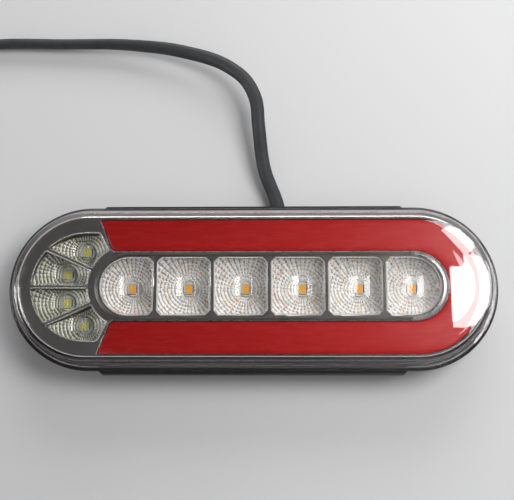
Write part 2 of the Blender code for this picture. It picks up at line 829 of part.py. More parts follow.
def make_board_cores():
    start = Vector((LEAD_X, LEAD_ROUTE[0][1] - GAP, LEAD_Z))
    for index, colour in enumerate(CORE_COLOURS):
        across, up = core_offsets()[index]
        spread = (index - 2) * BOARD_CORE_PITCH
        points = [
            start + Vector((across, 0, up)),
            start + Vector((across * 1.1, -1.5, up)),
            start + Vector((across * 0.4 + spread * 0.6, -4.5, up * 0.6)),
            start + Vector((spread, -7.5, 1.0)),
            start + Vector((spread, -8.6, 3.0)),
            start + Vector((spread, -8.8, BOARD_BOTTOM - GAP - LEAD_Z)),
        ]
        core_tube("board_core_" + colour, points, colour)


def make_tail_cores(line, end):
    centre, ahead = point_at(line, end)
    ahead = Vector((ahead.x, ahead.y, 0)).normalized()
    sideways = ahead.cross(Vector((0, 0, 1)))
    for index, colour in enumerate(CORE_COLOURS):
        across, up = core_offsets()[index]
        spread = (index - 2) * TAIL_CORE_PITCH
        base = centre + ahead * GAP + sideways * across + Vector((0, 0, up))
        points = [
            base,
            base + ahead * 2.0,
            base + ahead * TAIL_CORE_LENGTH * 0.45 + sideways * spread * 0.45,
            base + ahead * TAIL_CORE_LENGTH * 0.8 + sideways * spread * 0.9,
            base + ahead * TAIL_CORE_LENGTH + sideways * spread,
        ]
        core_tube("tail_core_" + colour, points, colour)


def make_grommet():
    """Rubber sleeve round the lead where it passes through the groove's end wall."""
    inner = (LEAD_HALF_WIDTH + GAP, LEAD_HALF_HEIGHT + GAP)
    rings = [
        oval_ring(1.0, *inner),
        oval_ring(1.0, *GROMMET_NOSE),
        oval_ring(0.2, *GROMMET_BODY),
        oval_ring(-2.9, *GROMMET_BODY),
        oval_ring(-3.0, *GROMMET_FLANGE),
        oval_ring(-3.9, *GROMMET_FLANGE),
        oval_ring(-3.9, *inner),
    ]
    return lofted("lead_grommet", rings, rubber(), closed=True)


def make_clamp():
    """Saddle over the lead with a screwed foot on each side."""
    foot = CLAMP_FOOT
    low = CLAMP_FOOT_BOTTOM - LEAD_Z
    high = CLAMP_FOOT_TOP - LEAD_Z
    over = [(CLAMP_OVER[0] * x, CLAMP_OVER[1] * y + CLAMP_RISE) for x, y in arc(0, 0, 1, 0, 180, 8)]
    under = [(CLAMP_UNDER[0] * x, CLAMP_UNDER[1] * y) for x, y in arc(0, 0, 1, 180, 0, 8)]
    outline = [(foot, low), (foot, high)] + over + [(-foot, high), (-foot, low), (-CLAMP_UNDER[0], low)]
    outline += under + [(CLAMP_UNDER[0], low)]
    clamp = slab("lead_clamp", [outline], -CLAMP_HALF_WIDTH, CLAMP_HALF_WIDTH, steel())
    clamp.rotation_euler = (pi / 2, 0, 0)
    clamp.location = (LEAD_X * MM, CLAMP_Y * MM, LEAD_Z * MM)
    hole_r = CLAMP_SCREW_R + 0.5
    holes = [(x, y, hole_r, CLAMP_FOOT_BOTTOM - 1, CLAMP_FOOT_TOP + 1) for x, y in clamp_screw_places()]
    combine(clamp, cylinders("clamp_holes", holes, steps=12), "DIFFERENCE")
    seat = CLAMP_FOOT_TOP + GAP
    size = (CLAMP_SCREW_LENGTH, CLAMP_SCREW_R, CLAMP_SCREW_HEAD_R, CLAMP_SCREW_HEAD_H)
    for i, (x, y) in enumerate(clamp_screw_places()):
        make_screw(f"clamp_screw_{i + 1}", x, y, seat, *size)


def make_board_screws():
    for i, (x, y) in enumerate(board_screw_places()):
        make_screw(f"board_screw_{i + 1}", x, y, ON_BOARD, SCREW_LENGTH, SCREW_R, SCREW_HEAD_R, SCREW_HEAD_H)


def main():
    clear_scene()
    make_housing()
    make_outer_lens()
    make_seal()
    make_bezel()
    make_red_guide()
    make_row_reflector()
    make_reverse_reflector()
    make_inner_windows()
    make_board()
    make_board_screws()
    make_leds()
    make_driver_parts()
    make_mounting_inserts()
    make_grommet()
    make_clamp()
    make_board_cores()
    make_lead()


main()
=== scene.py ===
"""Looks of the oval LED tail light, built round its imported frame. Lengths are in millimetres unless noted."""
import json
from math import acos, ceil, cos, degrees, hypot, pi, radians, sin, sqrt

import bmesh
import bpy
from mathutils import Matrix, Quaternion, Vector
from mathutils.geometry import tessellate_polygon
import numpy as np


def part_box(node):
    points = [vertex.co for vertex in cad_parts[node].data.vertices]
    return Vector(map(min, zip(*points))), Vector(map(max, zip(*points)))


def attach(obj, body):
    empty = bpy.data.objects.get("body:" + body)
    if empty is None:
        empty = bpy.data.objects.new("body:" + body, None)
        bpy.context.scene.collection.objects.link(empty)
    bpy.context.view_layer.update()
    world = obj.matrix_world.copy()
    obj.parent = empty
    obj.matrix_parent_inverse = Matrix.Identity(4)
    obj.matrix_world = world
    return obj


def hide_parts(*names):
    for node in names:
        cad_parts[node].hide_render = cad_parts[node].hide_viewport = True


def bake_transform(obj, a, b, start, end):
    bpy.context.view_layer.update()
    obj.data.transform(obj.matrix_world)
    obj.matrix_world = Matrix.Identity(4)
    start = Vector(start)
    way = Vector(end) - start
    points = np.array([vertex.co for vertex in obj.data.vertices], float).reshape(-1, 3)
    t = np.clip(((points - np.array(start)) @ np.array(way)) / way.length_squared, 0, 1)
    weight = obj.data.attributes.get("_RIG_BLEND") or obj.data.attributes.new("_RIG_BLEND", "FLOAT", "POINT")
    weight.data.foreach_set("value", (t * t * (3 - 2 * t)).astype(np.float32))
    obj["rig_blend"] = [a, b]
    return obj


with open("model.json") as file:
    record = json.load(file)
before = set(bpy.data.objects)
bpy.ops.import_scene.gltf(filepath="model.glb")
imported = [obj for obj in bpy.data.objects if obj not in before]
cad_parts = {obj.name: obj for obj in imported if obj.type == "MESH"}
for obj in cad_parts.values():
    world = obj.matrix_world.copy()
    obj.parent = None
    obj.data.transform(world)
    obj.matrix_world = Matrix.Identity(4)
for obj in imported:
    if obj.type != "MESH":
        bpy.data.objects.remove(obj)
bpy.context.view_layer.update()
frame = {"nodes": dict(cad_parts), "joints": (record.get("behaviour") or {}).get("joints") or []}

MM = 0.001
LAMP = "lamp"


def span(node):
    """Lowest and highest corner of a CAD node, in millimetres."""
    low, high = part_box(node)
    return low / MM, high / MM


def middle(node):
    low, high = span(node)
    return (low + high) / 2


LENS_LOW, LENS_HIGH = span("outer_lens")
BEZEL_HIGH = span("bezel_trim")[1]
GUIDE_LOW, GUIDE_HIGH = span("red_light_guide")
ROW_LOW, ROW_HIGH = span("row_inner_lens")
REFLECTOR_LOW, REFLECTOR_HIGH = span("row_reflector")
LED_LOW, LED_HIGH = span("amber_led_1")

FLANGE_R = LENS_HIGH.y
END_X = LENS_HIGH.x - FLANGE_R          # arc centres of the lamp's rounded ends
GUIDE_R = GUIDE_HIGH.y
ROW_LEFT = ROW_LOW.x + ROW_HIGH.y       # arc centres of the cell row's rounded ends
ROW_RIGHT = ROW_HIGH.x - ROW_HIGH.y
ROW_R = ROW_HIGH.y - 0.2
CELL_COUNT = 6
RED_COUNT = 7
CELL_PITCH = 27.8
CELL_WIDTH = 26.8
CELL_CORNER = 2.8
CORNER_SHRINK = 0.6                     # how much a corner shrinks with an inset
CORNER_CUT = ((0, 1.0), (12, 0.9), (45, 0.76), (78, 0.9), (90, 1.0))   # angle and reach, in corner sizes
FAN_ANGLES = (117.5, 155.5, 180.0, 204.5, 242.5)
SECTOR_COUNT = len(FAN_ANGLES) - 1
FAN_INNER_R = 19.5
FAN_OUTER_R = span("reverse_reflector")[1].y
FAN_OUTER_X = span("reverse_reflector")[0].x + FAN_OUTER_R
FAN_RIB = 0.5
FAN_CORNER = 1.6
PAD_GAP = 0.3
FLOOR_R = 4.2                           # round opening under each LED's cell


# ---------------------------------------------------------------- outlines and meshes

def arc(x, y, radius, start, end, steps):
    turns = [radians(start + (end - start) * i / steps) for i in range(steps + 1)]
    return [(x + radius * cos(t), y + radius * sin(t)) for t in turns]


def circle(x, y, radius, steps=32):
    return arc(x, y, radius, 0, 360, steps)[:-1]


def stadium(radius, left=-END_X, right=END_X, steps=64):
    return arc(right, 0, radius, -90, 90, steps) + arc(left, 0, radius, 90, 270, steps)


def cell_outline(index, inset=0.0, steps=24):
    """Mouth of one cell: cut corners, and a round end on the first and last."""
    left = ROW_LEFT - ROW_R + index * CELL_PITCH + inset
    right = left + CELL_WIDTH - 2 * inset
    half = ROW_R - inset
    corner = CELL_CORNER - inset * CORNER_SHRINK
    if index == CELL_COUNT - 1:
        outline = arc(ROW_RIGHT, 0, half, -90, 90, steps)
    else:
        x = right - corner
        outline = cut_corner(x, corner - half, corner, -90) + cut_corner(x, half - corner, corner, 0)
    if index == 0:
        return outline + arc(ROW_LEFT, 0, half, 90, 270, steps)
    x = left + corner
    return outline + cut_corner(x, half - corner, corner, 90) + cut_corner(x, corner - half, corner, 180)


def cut_corner(x, y, size, start):
    """Corner between two square sides, cut across and eased at both ends of the cut."""
    points = []
    for turn, reach in CORNER_CUT:
        angle = radians(start + turn)
        points.append((x + size * reach * cos(angle), y + size * reach * sin(angle)))
    return points


def fan_reach(angle, radius):
    """Distance from the fan's centre to its outer outline."""
    step = FAN_OUTER_X - ROW_LEFT
    turn = radians(angle)
    along = step * cos(turn)
    reach = along + sqrt(radius ** 2 - step ** 2 + along ** 2)
    if ROW_LEFT + reach * cos(turn) > FAN_OUTER_X:
        reach = radius / abs(sin(turn))
    return reach


def fan_outline(start, end, inset, steps=12):
    points = []
    for i in range(2 * steps + 2):
        outer = i <= steps
        share = i / steps if outer else (2 * steps + 1 - i) / steps
        angle = start + (end - start) * share
        reach = fan_reach(angle, FAN_OUTER_R - inset) if outer else FAN_INNER_R + inset
        x = ROW_LEFT + reach * cos(radians(angle))
        y = reach * sin(radians(angle))
        if share in (0, 1):
            side = 1 if share == 0 else -1
            x -= side * inset * sin(radians(angle))
            y += side * inset * cos(radians(angle))
        points.append((x, y))
    return points


def softened(outline, radius, sharp=35, steps=6):
    """The same outline with its corners rounded where it turns by more than sharp degrees."""
    points = []
    for before, corner, after in zip(outline[-1:] + outline[:-1], outline, outline[1:] + outline[:1]):
        here = Vector(corner)
        back = Vector(before) - here
        ahead = Vector(after) - here
        if (-back).angle(ahead) < radians(sharp):
            points.append(corner)
            continue
        first = here + back.normalized() * min(radius, back.length * 0.48)
        last = here + ahead.normalized() * min(radius, ahead.length * 0.48)
        for i in range(steps + 1):
            t = i / steps
            points.append(tuple(first * (1 - t) ** 2 + here * 2 * t * (1 - t) + last * t**2))
    return points


def sector_outline(index, inset):
    return softened(fan_outline(FAN_ANGLES[index], FAN_ANGLES[index + 1], FAN_RIB + inset), FAN_CORNER)


def ring(bm, outline, z):
    return [bm.verts.new((x, y, z)) for x, y in outline]


def bridge(bm, low, high, slot=0):
    size = len(low)
    for i in range(size):
        j = (i + 1) % size
        bm.faces.new((low[i], low[j], high[j], high[i])).material_index = slot


def skin(bm, rings, closed=False, slot=0):
    """Join rings of points into one surface, with a cap on each end unless it closes on itself."""
    loops = [[bm.verts.new(point) for point in points] for points in rings]
    for low, high in zip(loops, loops[1:]):
        bridge(bm, low, high, slot)
    if closed:
        bridge(bm, loops[-1], loops[0], slot)
    else:
        for loop in (loops[0], loops[-1]):
            bm.faces.new(loop).material_index = slot


def fill(bm, loops, slot=0):
    """Flat face between an outline and its holes, whose loops already exist."""
    verts = [vert for loop in loops for vert in loop]
    for a, b, c in tessellate_polygon([[vert.co for vert in loop] for loop in loops]):
        bm.faces.new((verts[a], verts[b], verts[c])).material_index = slot


def piece(bm, name, materials, body=LAMP, stands_for=(), sharp=30):
    """Finish a bmesh drawn in millimetres as a named piece that rides on a body."""
    bmesh.ops.recalc_face_normals(bm, faces=bm.faces)
    bmesh.ops.scale(bm, vec=(MM, MM, MM), verts=bm.verts)
    mesh = bpy.data.meshes.new(name)
    bm.to_mesh(mesh)
    bm.free()
    for item in materials:
        mesh.materials.append(item)
    mesh.shade_smooth()
    mesh.set_sharp_from_angle(angle=radians(sharp))
    made = bpy.data.objects.new(name, mesh)
    bpy.context.scene.collection.objects.link(made)
    if body:
        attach(made, body)
    if stands_for:
        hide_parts(*stands_for)
    return made


def bevel(item, width, segments=2, angle=35):
    """Round an object's sharp edges a little, so that they catch the light."""
    step = item.modifiers.new("edge", "BEVEL")
    step.width = width * MM
    step.segments = segments
    step.limit_method = "ANGLE"
    step.angle_limit = radians(angle)
    step.harden_normals = False


# ---------------------------------------------------------------- materials

MIX_A = 6                               # a colour mix node's sockets, which share their names with others
MIX_B = 7
MIX_RESULT = 2


class Nodes:
    """Short names for building the nodes of a material, or of the world."""

    def __init__(self, owner, output="ShaderNodeOutputMaterial"):
        self.owner = owner
        self.owner.use_nodes = True
        self.tree = self.owner.node_tree
        self.tree.nodes.clear()
        self.output = self.add(output)

    def add(self, kind, **values):
        node = self.tree.nodes.new(kind)
        for key, value in values.items():
            setattr(node, key, value)
        return node

    def link(self, source, target):
        self.tree.links.new(source, target)

    def position(self, scale=(1, 1, 1)):
        """Place in the object, in metres, stretched by a scale."""
        place = self.add("ShaderNodeTexCoord")
        mapping = self.add("ShaderNodeMapping")
        mapping.inputs["Scale"].default_value = scale
        self.link(place.outputs["Object"], mapping.inputs["Vector"])
        return mapping.outputs["Vector"]

    def noise(self, scale, detail=3.0, stretch=(1, 1, 1), roughness=0.5):
        node = self.add("ShaderNodeTexNoise")
        node.inputs["Scale"].default_value = scale
        node.inputs["Detail"].default_value = detail
        node.inputs["Roughness"].default_value = roughness
        self.link(self.position(stretch), node.inputs["Vector"])
        return node.outputs["Fac"]

    def ramp(self, factor, stops):
        """Colour ramp from (place, colour) stops; a colour may be one grey number."""
        node = self.add("ShaderNodeValToRGB")
        elements = node.color_ramp.elements
        while len(elements) < len(stops):
            elements.new(0.5)
        for element, (place, colour) in zip(elements, stops):
            element.position = place
            element.color = (*colour, 1) if isinstance(colour, tuple) else (colour, colour, colour, 1)
        self.link(factor, node.inputs["Fac"])
        return node.outputs["Color"]

    def combined(self, first, second, how="MULTIPLY"):
        node = self.add("ShaderNodeMix", data_type="RGBA", blend_type=how)
        node.inputs["Factor"].default_value = 1.0
        self.link(first, node.inputs[MIX_A])
        self.link(second, node.inputs[MIX_B])
        return node.outputs[MIX_RESULT]

    def share_along(self, axis, length):
        """Place along an axis as a share of a length in millimetres, 0.5 at the lamp's middle."""
        stretch = [1 / (length * MM) if name == axis else 1 for name in "XYZ"]
        place = self.add("ShaderNodeSeparateXYZ")
        self.link(self.position(stretch), place.inputs["Vector"])
        centred = self.add("ShaderNodeMath", operation="ADD")
        centred.inputs[1].default_value = 0.5
        self.link(place.outputs[axis], centred.inputs[0])
        return centred.outputs[0]

    def bump(self, height, strength, distance):
        node = self.add("ShaderNodeBump")
        node.inputs["Strength"].default_value = strength
        node.inputs["Distance"].default_value = distance * MM
        self.link(height, node.inputs["Height"])
        return node.outputs["Normal"]

    def principled(self, **values):
        node = self.add("ShaderNodeBsdfPrincipled")
        for key, value in values.items():
            socket = node.inputs[key.replace("_", " ")]
            if isinstance(value, bpy.types.NodeSocket):
                self.link(value, socket)
            elif isinstance(value, tuple):
                socket.default_value = (*value, 1.0)
            else:
                socket.default_value = value
        return node.outputs["BSDF"]

    def finish(self, shader):
        self.link(shader, self.output.inputs["Surface"])
        return self.owner


def material_nodes(name):
    return Nodes(bpy.data.materials.new(name))


def plastic(name, low, high, rough, grain, grain_depth, metallic=0.0, coat=0.0):
    """Moulded plastic whose colour, shine and skin vary a little."""
    n = material_nodes(name)
    patches = n.noise(60, 4)
    colour = n.ramp(patches, [(0.3, low), (0.7, high)])
    shine = n.ramp(n.noise(400, 2), [(0.3, rough * 0.88), (0.7, min(rough * 1.14, 1))])
    skin_bump = n.bump(n.noise(grain, 2), 0.5, grain_depth)
    return n.finish(n.principled(Base_Color=colour, Roughness=shine, Normal=skin_bump, Metallic=metallic,
                                 Coat_Weight=coat, Coat_Roughness=0.08))


def clear_acrylic(name, tint, painted_haze=(0, 0), painted_pale_colour=(0.86, 0.86, 0.86), index=1.49):
    """Clear moulding: it bends what is seen through it and lets lamps light what it covers.
    Its whitish diffuse part, at the lamp's near side and at its far side, is painted light on the acrylic's
    edges and walls."""
    n = material_nodes(name)
    glass = n.add("ShaderNodeBsdfGlass")
    glass.inputs["Color"].default_value = (*tint, 1)
    glass.inputs["IOR"].default_value = index
    glass.inputs["Roughness"].default_value = 0.0
    n.link(n.bump(n.noise(45, 1), 0.1, 0.001), glass.inputs["Normal"])
    open_way = n.add("ShaderNodeBsdfTransparent")
    open_way.inputs["Color"].default_value = (*tint, 1)
    path = n.add("ShaderNodeLightPath")
    either = n.add("ShaderNodeMath", operation="MAXIMUM")
    n.link(path.outputs["Is Shadow Ray"], either.inputs[0])
    n.link(path.outputs["Is Diffuse Ray"], either.inputs[1])
    mix = n.add("ShaderNodeMixShader")
    n.link(either.outputs[0], mix.inputs[0])
    n.link(glass.outputs["BSDF"], mix.inputs[1])
    n.link(open_way.outputs["BSDF"], mix.inputs[2])
    if painted_haze == (0, 0):
        return n.finish(mix.outputs["Shader"])
    # painted light: a whitish diffuse part mixed into the clear moulding
    cloud = n.add("ShaderNodeBsdfDiffuse")
    pale = n.ramp(n.noise(150, 2), [(0.3, 0.9), (0.7, 1.0)])
    whole = n.add("ShaderNodeRGB")
    whole.outputs["Color"].default_value = (*painted_pale_colour, 1)
    n.link(n.combined(pale, whole.outputs["Color"]), cloud.inputs["Color"])
    # the painted light runs from its near-side share to its far-side share across the lamp
    across = n.share_along("Y", 2 * FLANGE_R)
    blended = n.add("ShaderNodeMixShader")
    n.link(n.ramp(across, [(0.15, painted_haze[0]), (0.85, painted_haze[1])]), blended.inputs[0])
    n.link(mix.outputs["Shader"], blended.inputs[1])
    n.link(cloud.outputs["BSDF"], blended.inputs[2])
    return n.finish(blended.outputs["Shader"])


def faceted_chrome(name, painted_shade_tones, glint, share, metallic, rough):
    """Metallised facets with painted light and shade: each facet's colour runs from a painted dark side to a
    painted lit side, and specks painted in the LED's colour stand for reflections of its phosphor.
    """
    n = material_nodes(name)
    painted_shading = n.add("ShaderNodeAttribute", attribute_name="painted_shading")
    each = n.add("ShaderNodeAttribute", attribute_name="tone")
    # painted shade and light: each face's colour runs from dark to light with how its slope turns to the light
    side = n.ramp(painted_shading.outputs["Fac"], [(0.12, painted_shade_tones[0]), (0.5, painted_shade_tones[1]), (0.85, painted_shade_tones[2])])
    levels = n.ramp(each.outputs["Fac"], [(0.0, 0.70), (0.3, 1.0), (0.5, 0.85), (0.75, 1.0), (1.0, 0.8)])
    specks = n.add("ShaderNodeTexVoronoi")
    specks.inputs["Scale"].default_value = 1700
    n.link(n.position(), specks.inputs["Vector"])
    pick = n.add("ShaderNodeSeparateColor")
    n.link(specks.outputs["Color"], pick.inputs["Color"])
    dots = n.ramp(pick.outputs["Green"], [(0.06, 0.55), (0.12, 1.0)])
    # painted reflection: a share of the specks takes the colour of the LED's phosphor
    painted_glints = n.ramp(pick.outputs["Red"], [(1 - share - 0.02, (1.0, 1.0, 1.0)), (1 - share + 0.02, glint)])
    colour = n.combined(n.combined(side, painted_glints), n.combined(levels, dots))
    shine = n.ramp(n.noise(900, 2), [(0.3, rough * 0.8), (0.7, rough * 1.3)])
    return n.finish(n.principled(Base_Color=colour, Roughness=shine, Metallic=metallic))


def red_diffuser():
    """Deep red moulding with faint flow lines along it, and painted shade that darkens it a little towards its
    open end.
    """
    n = material_nodes("red_diffuser")
    flow = n.noise(30, 4, (0.12, 2.5, 1), 0.5)
    colour = n.ramp(flow, [(0.3, (0.385, 0.0050, 0.0045)), (0.7, (0.405, 0.0062, 0.0055))])
    # painted shade: darker towards the left, open end of the C, lighter towards its right end, nearer the light
    along = n.share_along("X", 2 * END_X)
    colour = n.combined(colour, n.ramp(along, [(0.0, 0.70), (1.0, 1.0)]))
    shine = n.ramp(n.noise(300, 3, (0.3, 2, 1)), [(0.3, 0.24), (0.7, 0.30)])
    wave = n.bump(n.noise(45, 3, (0.2, 1.5, 1)), 0.1, 0.005)
    return n.finish(n.principled(Base_Color=colour, Roughness=shine, Normal=wave, Specular_IOR_Level=0.2))


def jacket():
    """Cable jacket: dark grey, with fine drawn lines and scuffs."""
    n = material_nodes("lead_jacket")
    scuff = n.noise(220, 6, (1, 1, 1), 0.7)
    colour = n.ramp(scuff, [(0.35, (0.022, 0.023, 0.026)), (0.7, (0.034, 0.036, 0.040))])
    shine = n.ramp(n.noise(90, 4), [(0.3, 0.50), (0.7, 0.66)])
    grain = n.bump(n.noise(1500, 3), 0.35, 0.03)
    return n.finish(n.principled(Base_Color=colour, Roughness=shine, Normal=grain))


def turned_metal(name, low, high, rough):
    n = material_nodes(name)
    streaks = n.noise(900, 4, (1, 1, 0.15))
    colour = n.ramp(streaks, [(0.3, low), (0.7, high)])
    shine = n.ramp(n.noise(1600, 2), [(0.3, rough * 0.8), (0.7, rough * 1.3)])
    return n.finish(n.principled(Base_Color=colour, Roughness=shine, Metallic=1.0))


BLACK = plastic("housing_black", (0.0085, 0.0085, 0.009), (0.014, 0.014, 0.0145), 0.42, 2200, 0.02)
SMOKE = plastic("smoked_metal", (0.058, 0.054, 0.049), (0.070, 0.065, 0.059), 0.36, 1800, 0.008,
                metallic=0.5, coat=0.15)
# brighter copy of the smoked metal, a painted highlight on the bead round the red moulding and on the row's
# trim ring
PAINTED_HIGHLIGHT_METAL = plastic("smoked_metal_painted_highlight", (0.16, 0.155, 0.15), (0.22, 0.215, 0.21), 0.28, 1800, 0.006, metallic=0.9)
RUBBER = plastic("seal_rubber", (0.02, 0.02, 0.02), (0.03, 0.03, 0.03), 0.75, 1200, 0.03)
OUTER_CLEAR = clear_acrylic("outer_clear", (0.997, 0.998, 0.998), index=1.6)
# The rim's and wall's whitish part is painted light, stronger on the far side that faces the light; the wall's
# pink cast is painted light from the red moulding.
OUTER_RIM = clear_acrylic("outer_rim", (0.96, 0.965, 0.97), (0.10, 0.34))
OUTER_WALL = clear_acrylic("outer_wall", (0.96, 0.95, 0.95), (0.03, 0.40), (0.86, 0.77, 0.76))
OUTER_EDGE = clear_acrylic("outer_edge", (0.42, 0.43, 0.45))
INNER_CLEAR = clear_acrylic("inner_clear", (0.995, 0.996, 0.996))
# the pads' eased edges are a little whitish: painted light along them
PAD_EDGE = clear_acrylic("pad_edge", (0.98, 0.98, 0.98), (0.13, 0.16))
# painted highlight on the left edges of the row's pads
PAD_PAINTED_HIGHLIGHT = clear_acrylic("pad_painted_highlight", (0.96, 0.965, 0.97), (0.85, 0.85), (0.97, 0.97, 0.97))
PAD_WINDOW = clear_acrylic("pad_window", (0.995, 0.996, 0.996), index=1.40)
# Both bowls' colours hold painted shade and light on their facets and painted reflections of their LEDs'
# phosphor; the fan's olive cast is painted reflection of its yellow phosphor.
ROW_CHROME = faceted_chrome("row_chrome", ((0.30, 0.29, 0.275), (0.93, 0.91, 0.87), (1.0, 1.0, 0.99)),
                            (1.0, 0.62, 0.34), 0.14, 0.08, 0.45)
FAN_CHROME = faceted_chrome("fan_chrome", ((0.065, 0.065, 0.052), (0.23, 0.23, 0.19), (0.78, 0.78, 0.70)),
                            (0.86, 0.84, 0.42), 0.24, 0.18, 0.42)
RED = red_diffuser()
BOARD = plastic("board_white", (0.62, 0.64, 0.63), (0.70, 0.71, 0.70), 0.45, 700, 0.02)
PACKAGE = plastic("led_package", (0.72, 0.77, 0.79), (0.82, 0.86, 0.87), 0.4, 1500, 0.01)
# near-black painted shade in the shallow gap round each LED's phosphor
PAINTED_GAP_SHADE = plastic("led_gap_painted_shade", (0.012, 0.012, 0.012), (0.02, 0.02, 0.02), 0.5, 1500, 0.01)
AMBER = plastic("amber_phosphor", (1.0, 0.40, 0.03), (1.0, 0.47, 0.05), 0.55, 2500, 0.02)
YELLOW = plastic("yellow_phosphor", (0.66, 0.60, 0.09), (0.72, 0.66, 0.12), 0.55, 2500, 0.02)
RED_DIE = plastic("red_die", (0.55, 0.12, 0.09), (0.65, 0.18, 0.13), 0.5, 2500, 0.02)
ZINC = turned_metal("zinc_steel", (0.50, 0.50, 0.49), (0.64, 0.64, 0.62), 0.28)
BRASS = turned_metal("insert_brass", (0.58, 0.42, 0.17), (0.70, 0.53, 0.25), 0.26)
CAN = turned_metal("capacitor_can", (0.62, 0.62, 0.64), (0.74, 0.74, 0.76), 0.3)
CHIP = plastic("chip_black", (0.014, 0.014, 0.015), (0.024, 0.024, 0.025), 0.5, 1800, 0.02)
JACKET = jacket()
CORE_COLOURS = {
    "yellow": ((0.62, 0.44, 0.02), (0.72, 0.52, 0.04)),
    "green": ((0.02, 0.20, 0.05), (0.04, 0.28, 0.07)),
    "white": ((0.62, 0.62, 0.60), (0.72, 0.72, 0.70)),
    "brown": ((0.08, 0.03, 0.012), (0.12, 0.045, 0.02)),
    "red": ((0.42, 0.02, 0.02), (0.52, 0.03, 0.03)),
}
CORES = {name: plastic("core_" + name, *colours, 0.42, 1500, 0.02) for name, colours in CORE_COLOURS.items()}


# ---------------------------------------------------------------- pieces of the lamp

LENS_WALL = 2.1
FLANGE_TOP = LENS_LOW.z + 3.0
FLANGE_FLAT_R = FLANGE_R - 1.4          # outer edge of the flange's flat top
FRONT_EDGE = LENS_HIGH.z - 1.2          # height at which the crowned front meets the wall
BORE_R = FLANGE_R - 6.0                 # inner face of the wall
GROOVE_R = 38.2                         # shallow groove round the flange
GROOVE_HALF_WIDTH = 0.4
WALL_FOOT_R = 37.5
WALL_R = 36.5
SHOULDER_R = 35.0
FRONT_R = 34.6
CROWN = 0.58                            # how far the front falls from its middle to its edge


def make_outer_lens():
    """Stepped cover: a flange, a drafted wall and a front that is crowned a little."""
    crest = LENS_HIGH.z
    profile = []
    for share in (0.12, 0.3, 0.5, 0.7, 0.85):
        profile.append((BORE_R * share, crest - LENS_WALL - 0.25 - 0.6 * share**2))
    profile += arc(BORE_R - 1.2, FRONT_EDGE - LENS_WALL - 0.6, 1.2, 90, 0, 5)
    profile += [(BORE_R + 0.05, LENS_LOW.z), (FLANGE_R - 0.5, LENS_LOW.z)]
    profile += arc(FLANGE_R - 0.5, LENS_LOW.z + 0.5, 0.5, -90, 0, 3)
    profile += arc(FLANGE_R - 0.9, FLANGE_TOP - 0.9, 0.9, 0, 90, 5)
    profile += [(FLANGE_FLAT_R, FLANGE_TOP)]
    for side, out, drop in ((1, 0, 0), (1, 0.2, 0.35), (-1, 0.2, 0.35), (-1, 0, 0)):
        profile.append((GROOVE_R + side * (GROOVE_HALF_WIDTH - out), FLANGE_TOP - drop))
    profile += arc(WALL_FOOT_R, FLANGE_TOP + 0.6, 0.6, 270, 190, 4)
    profile += [(WALL_R, FRONT_EDGE - 1.4)]
    profile += arc(SHOULDER_R, FRONT_EDGE - 0.9, 1.5, 12, 80, 6)
    for share in (0.96, 0.85, 0.7, 0.5, 0.3, 0.12):
        profile.append((FRONT_R * share, crest - CROWN * share**2))
    bm = bmesh.new()
    skin(bm, [[(x, y, z) for x, y in stadium(radius)] for radius, z in profile])
    looks = [OUTER_CLEAR, OUTER_RIM, OUTER_WALL, OUTER_EDGE]
    # the wall and rim take the materials with painted light
    for face in bm.faces:
        x, y, z = face.calc_center_median()
        radius = hypot(x - min(max(x, -END_X), END_X), y)
        if radius > FLANGE_FLAT_R:
            face.material_index = looks.index(OUTER_EDGE)
        elif radius > WALL_R - 0.1 and z < FLANGE_TOP + 0.5:
            face.material_index = looks.index(OUTER_WALL)
        elif radius > FRONT_R - 0.2 and crest - 3.2 < z < crest - 1.0:
            face.material_index = looks.index(OUTER_RIM)
    piece(bm, "clear_outer_lens", looks, stands_for=["outer_lens"], sharp=50)


def edge_distance(outline, x, y, angle):
    """How far an outline lies from a point inside it, in one direction."""
    dx = cos(angle)
    dy = sin(angle)
    best = None
    for (x0, y0), (x1, y1) in zip(outline, outline[1:] + outline[:1]):
        ex = x1 - x0
        ey = y1 - y0
        cross = dx * ey - dy * ex
        if abs(cross) < 1e-12:
            continue
        along = ((x0 - x) * ey - (y0 - y) * ex) / cross
        share = ((x0 - x) * dy - (y0 - y) * dx) / cross
        if along > 0 and -1e-9 <= share <= 1 + 1e-9 and (best is None or along < best):
            best = along
    return best


FACETS = 38                             # facets round each cell
FACET_STEPS = 3                         # mesh steps across one facet
RING_PITCH = 1.75
PILLOW = 0.13                           # how far a facet stands proud at its middle
FLOOR_DROP = 0.3                        # depth of the opening under each bowl
BOWL_SHARE = 0.92                       # share of the height that the bowl's curve rises
PAINTED_LIGHT_FROM = (0.93, 0.37)                 # the way that the painted lit side of a facet faces
PAINTED_SHADE_CONTRAST = 1.05                         # how strongly a facet's slope tells in its painted shade
PAINTED_FILL = 0.15                          # painted light: lighter facets on the slopes of the bowl that face away from the light, where shade would fall
RAGGED = 0.30                           # scatter of tone within and between facets
LIFT = 0.08                             # lighter facets everywhere
PAINTED_LIGHT_RIGHT = 0.24                       # painted light: lighter again from the row's left end to its right end
ROW_MOUTH_INSET = 0.25
FAN_MOUTH_INSET = 0.2
ROW_TRAY_WALL = 0.5


def scattered(seed, spin=43758.5453):
    """Repeatable share from 0 to 1 that jumps about as its seed changes."""
    return abs(sin(seed) * spin) % 1


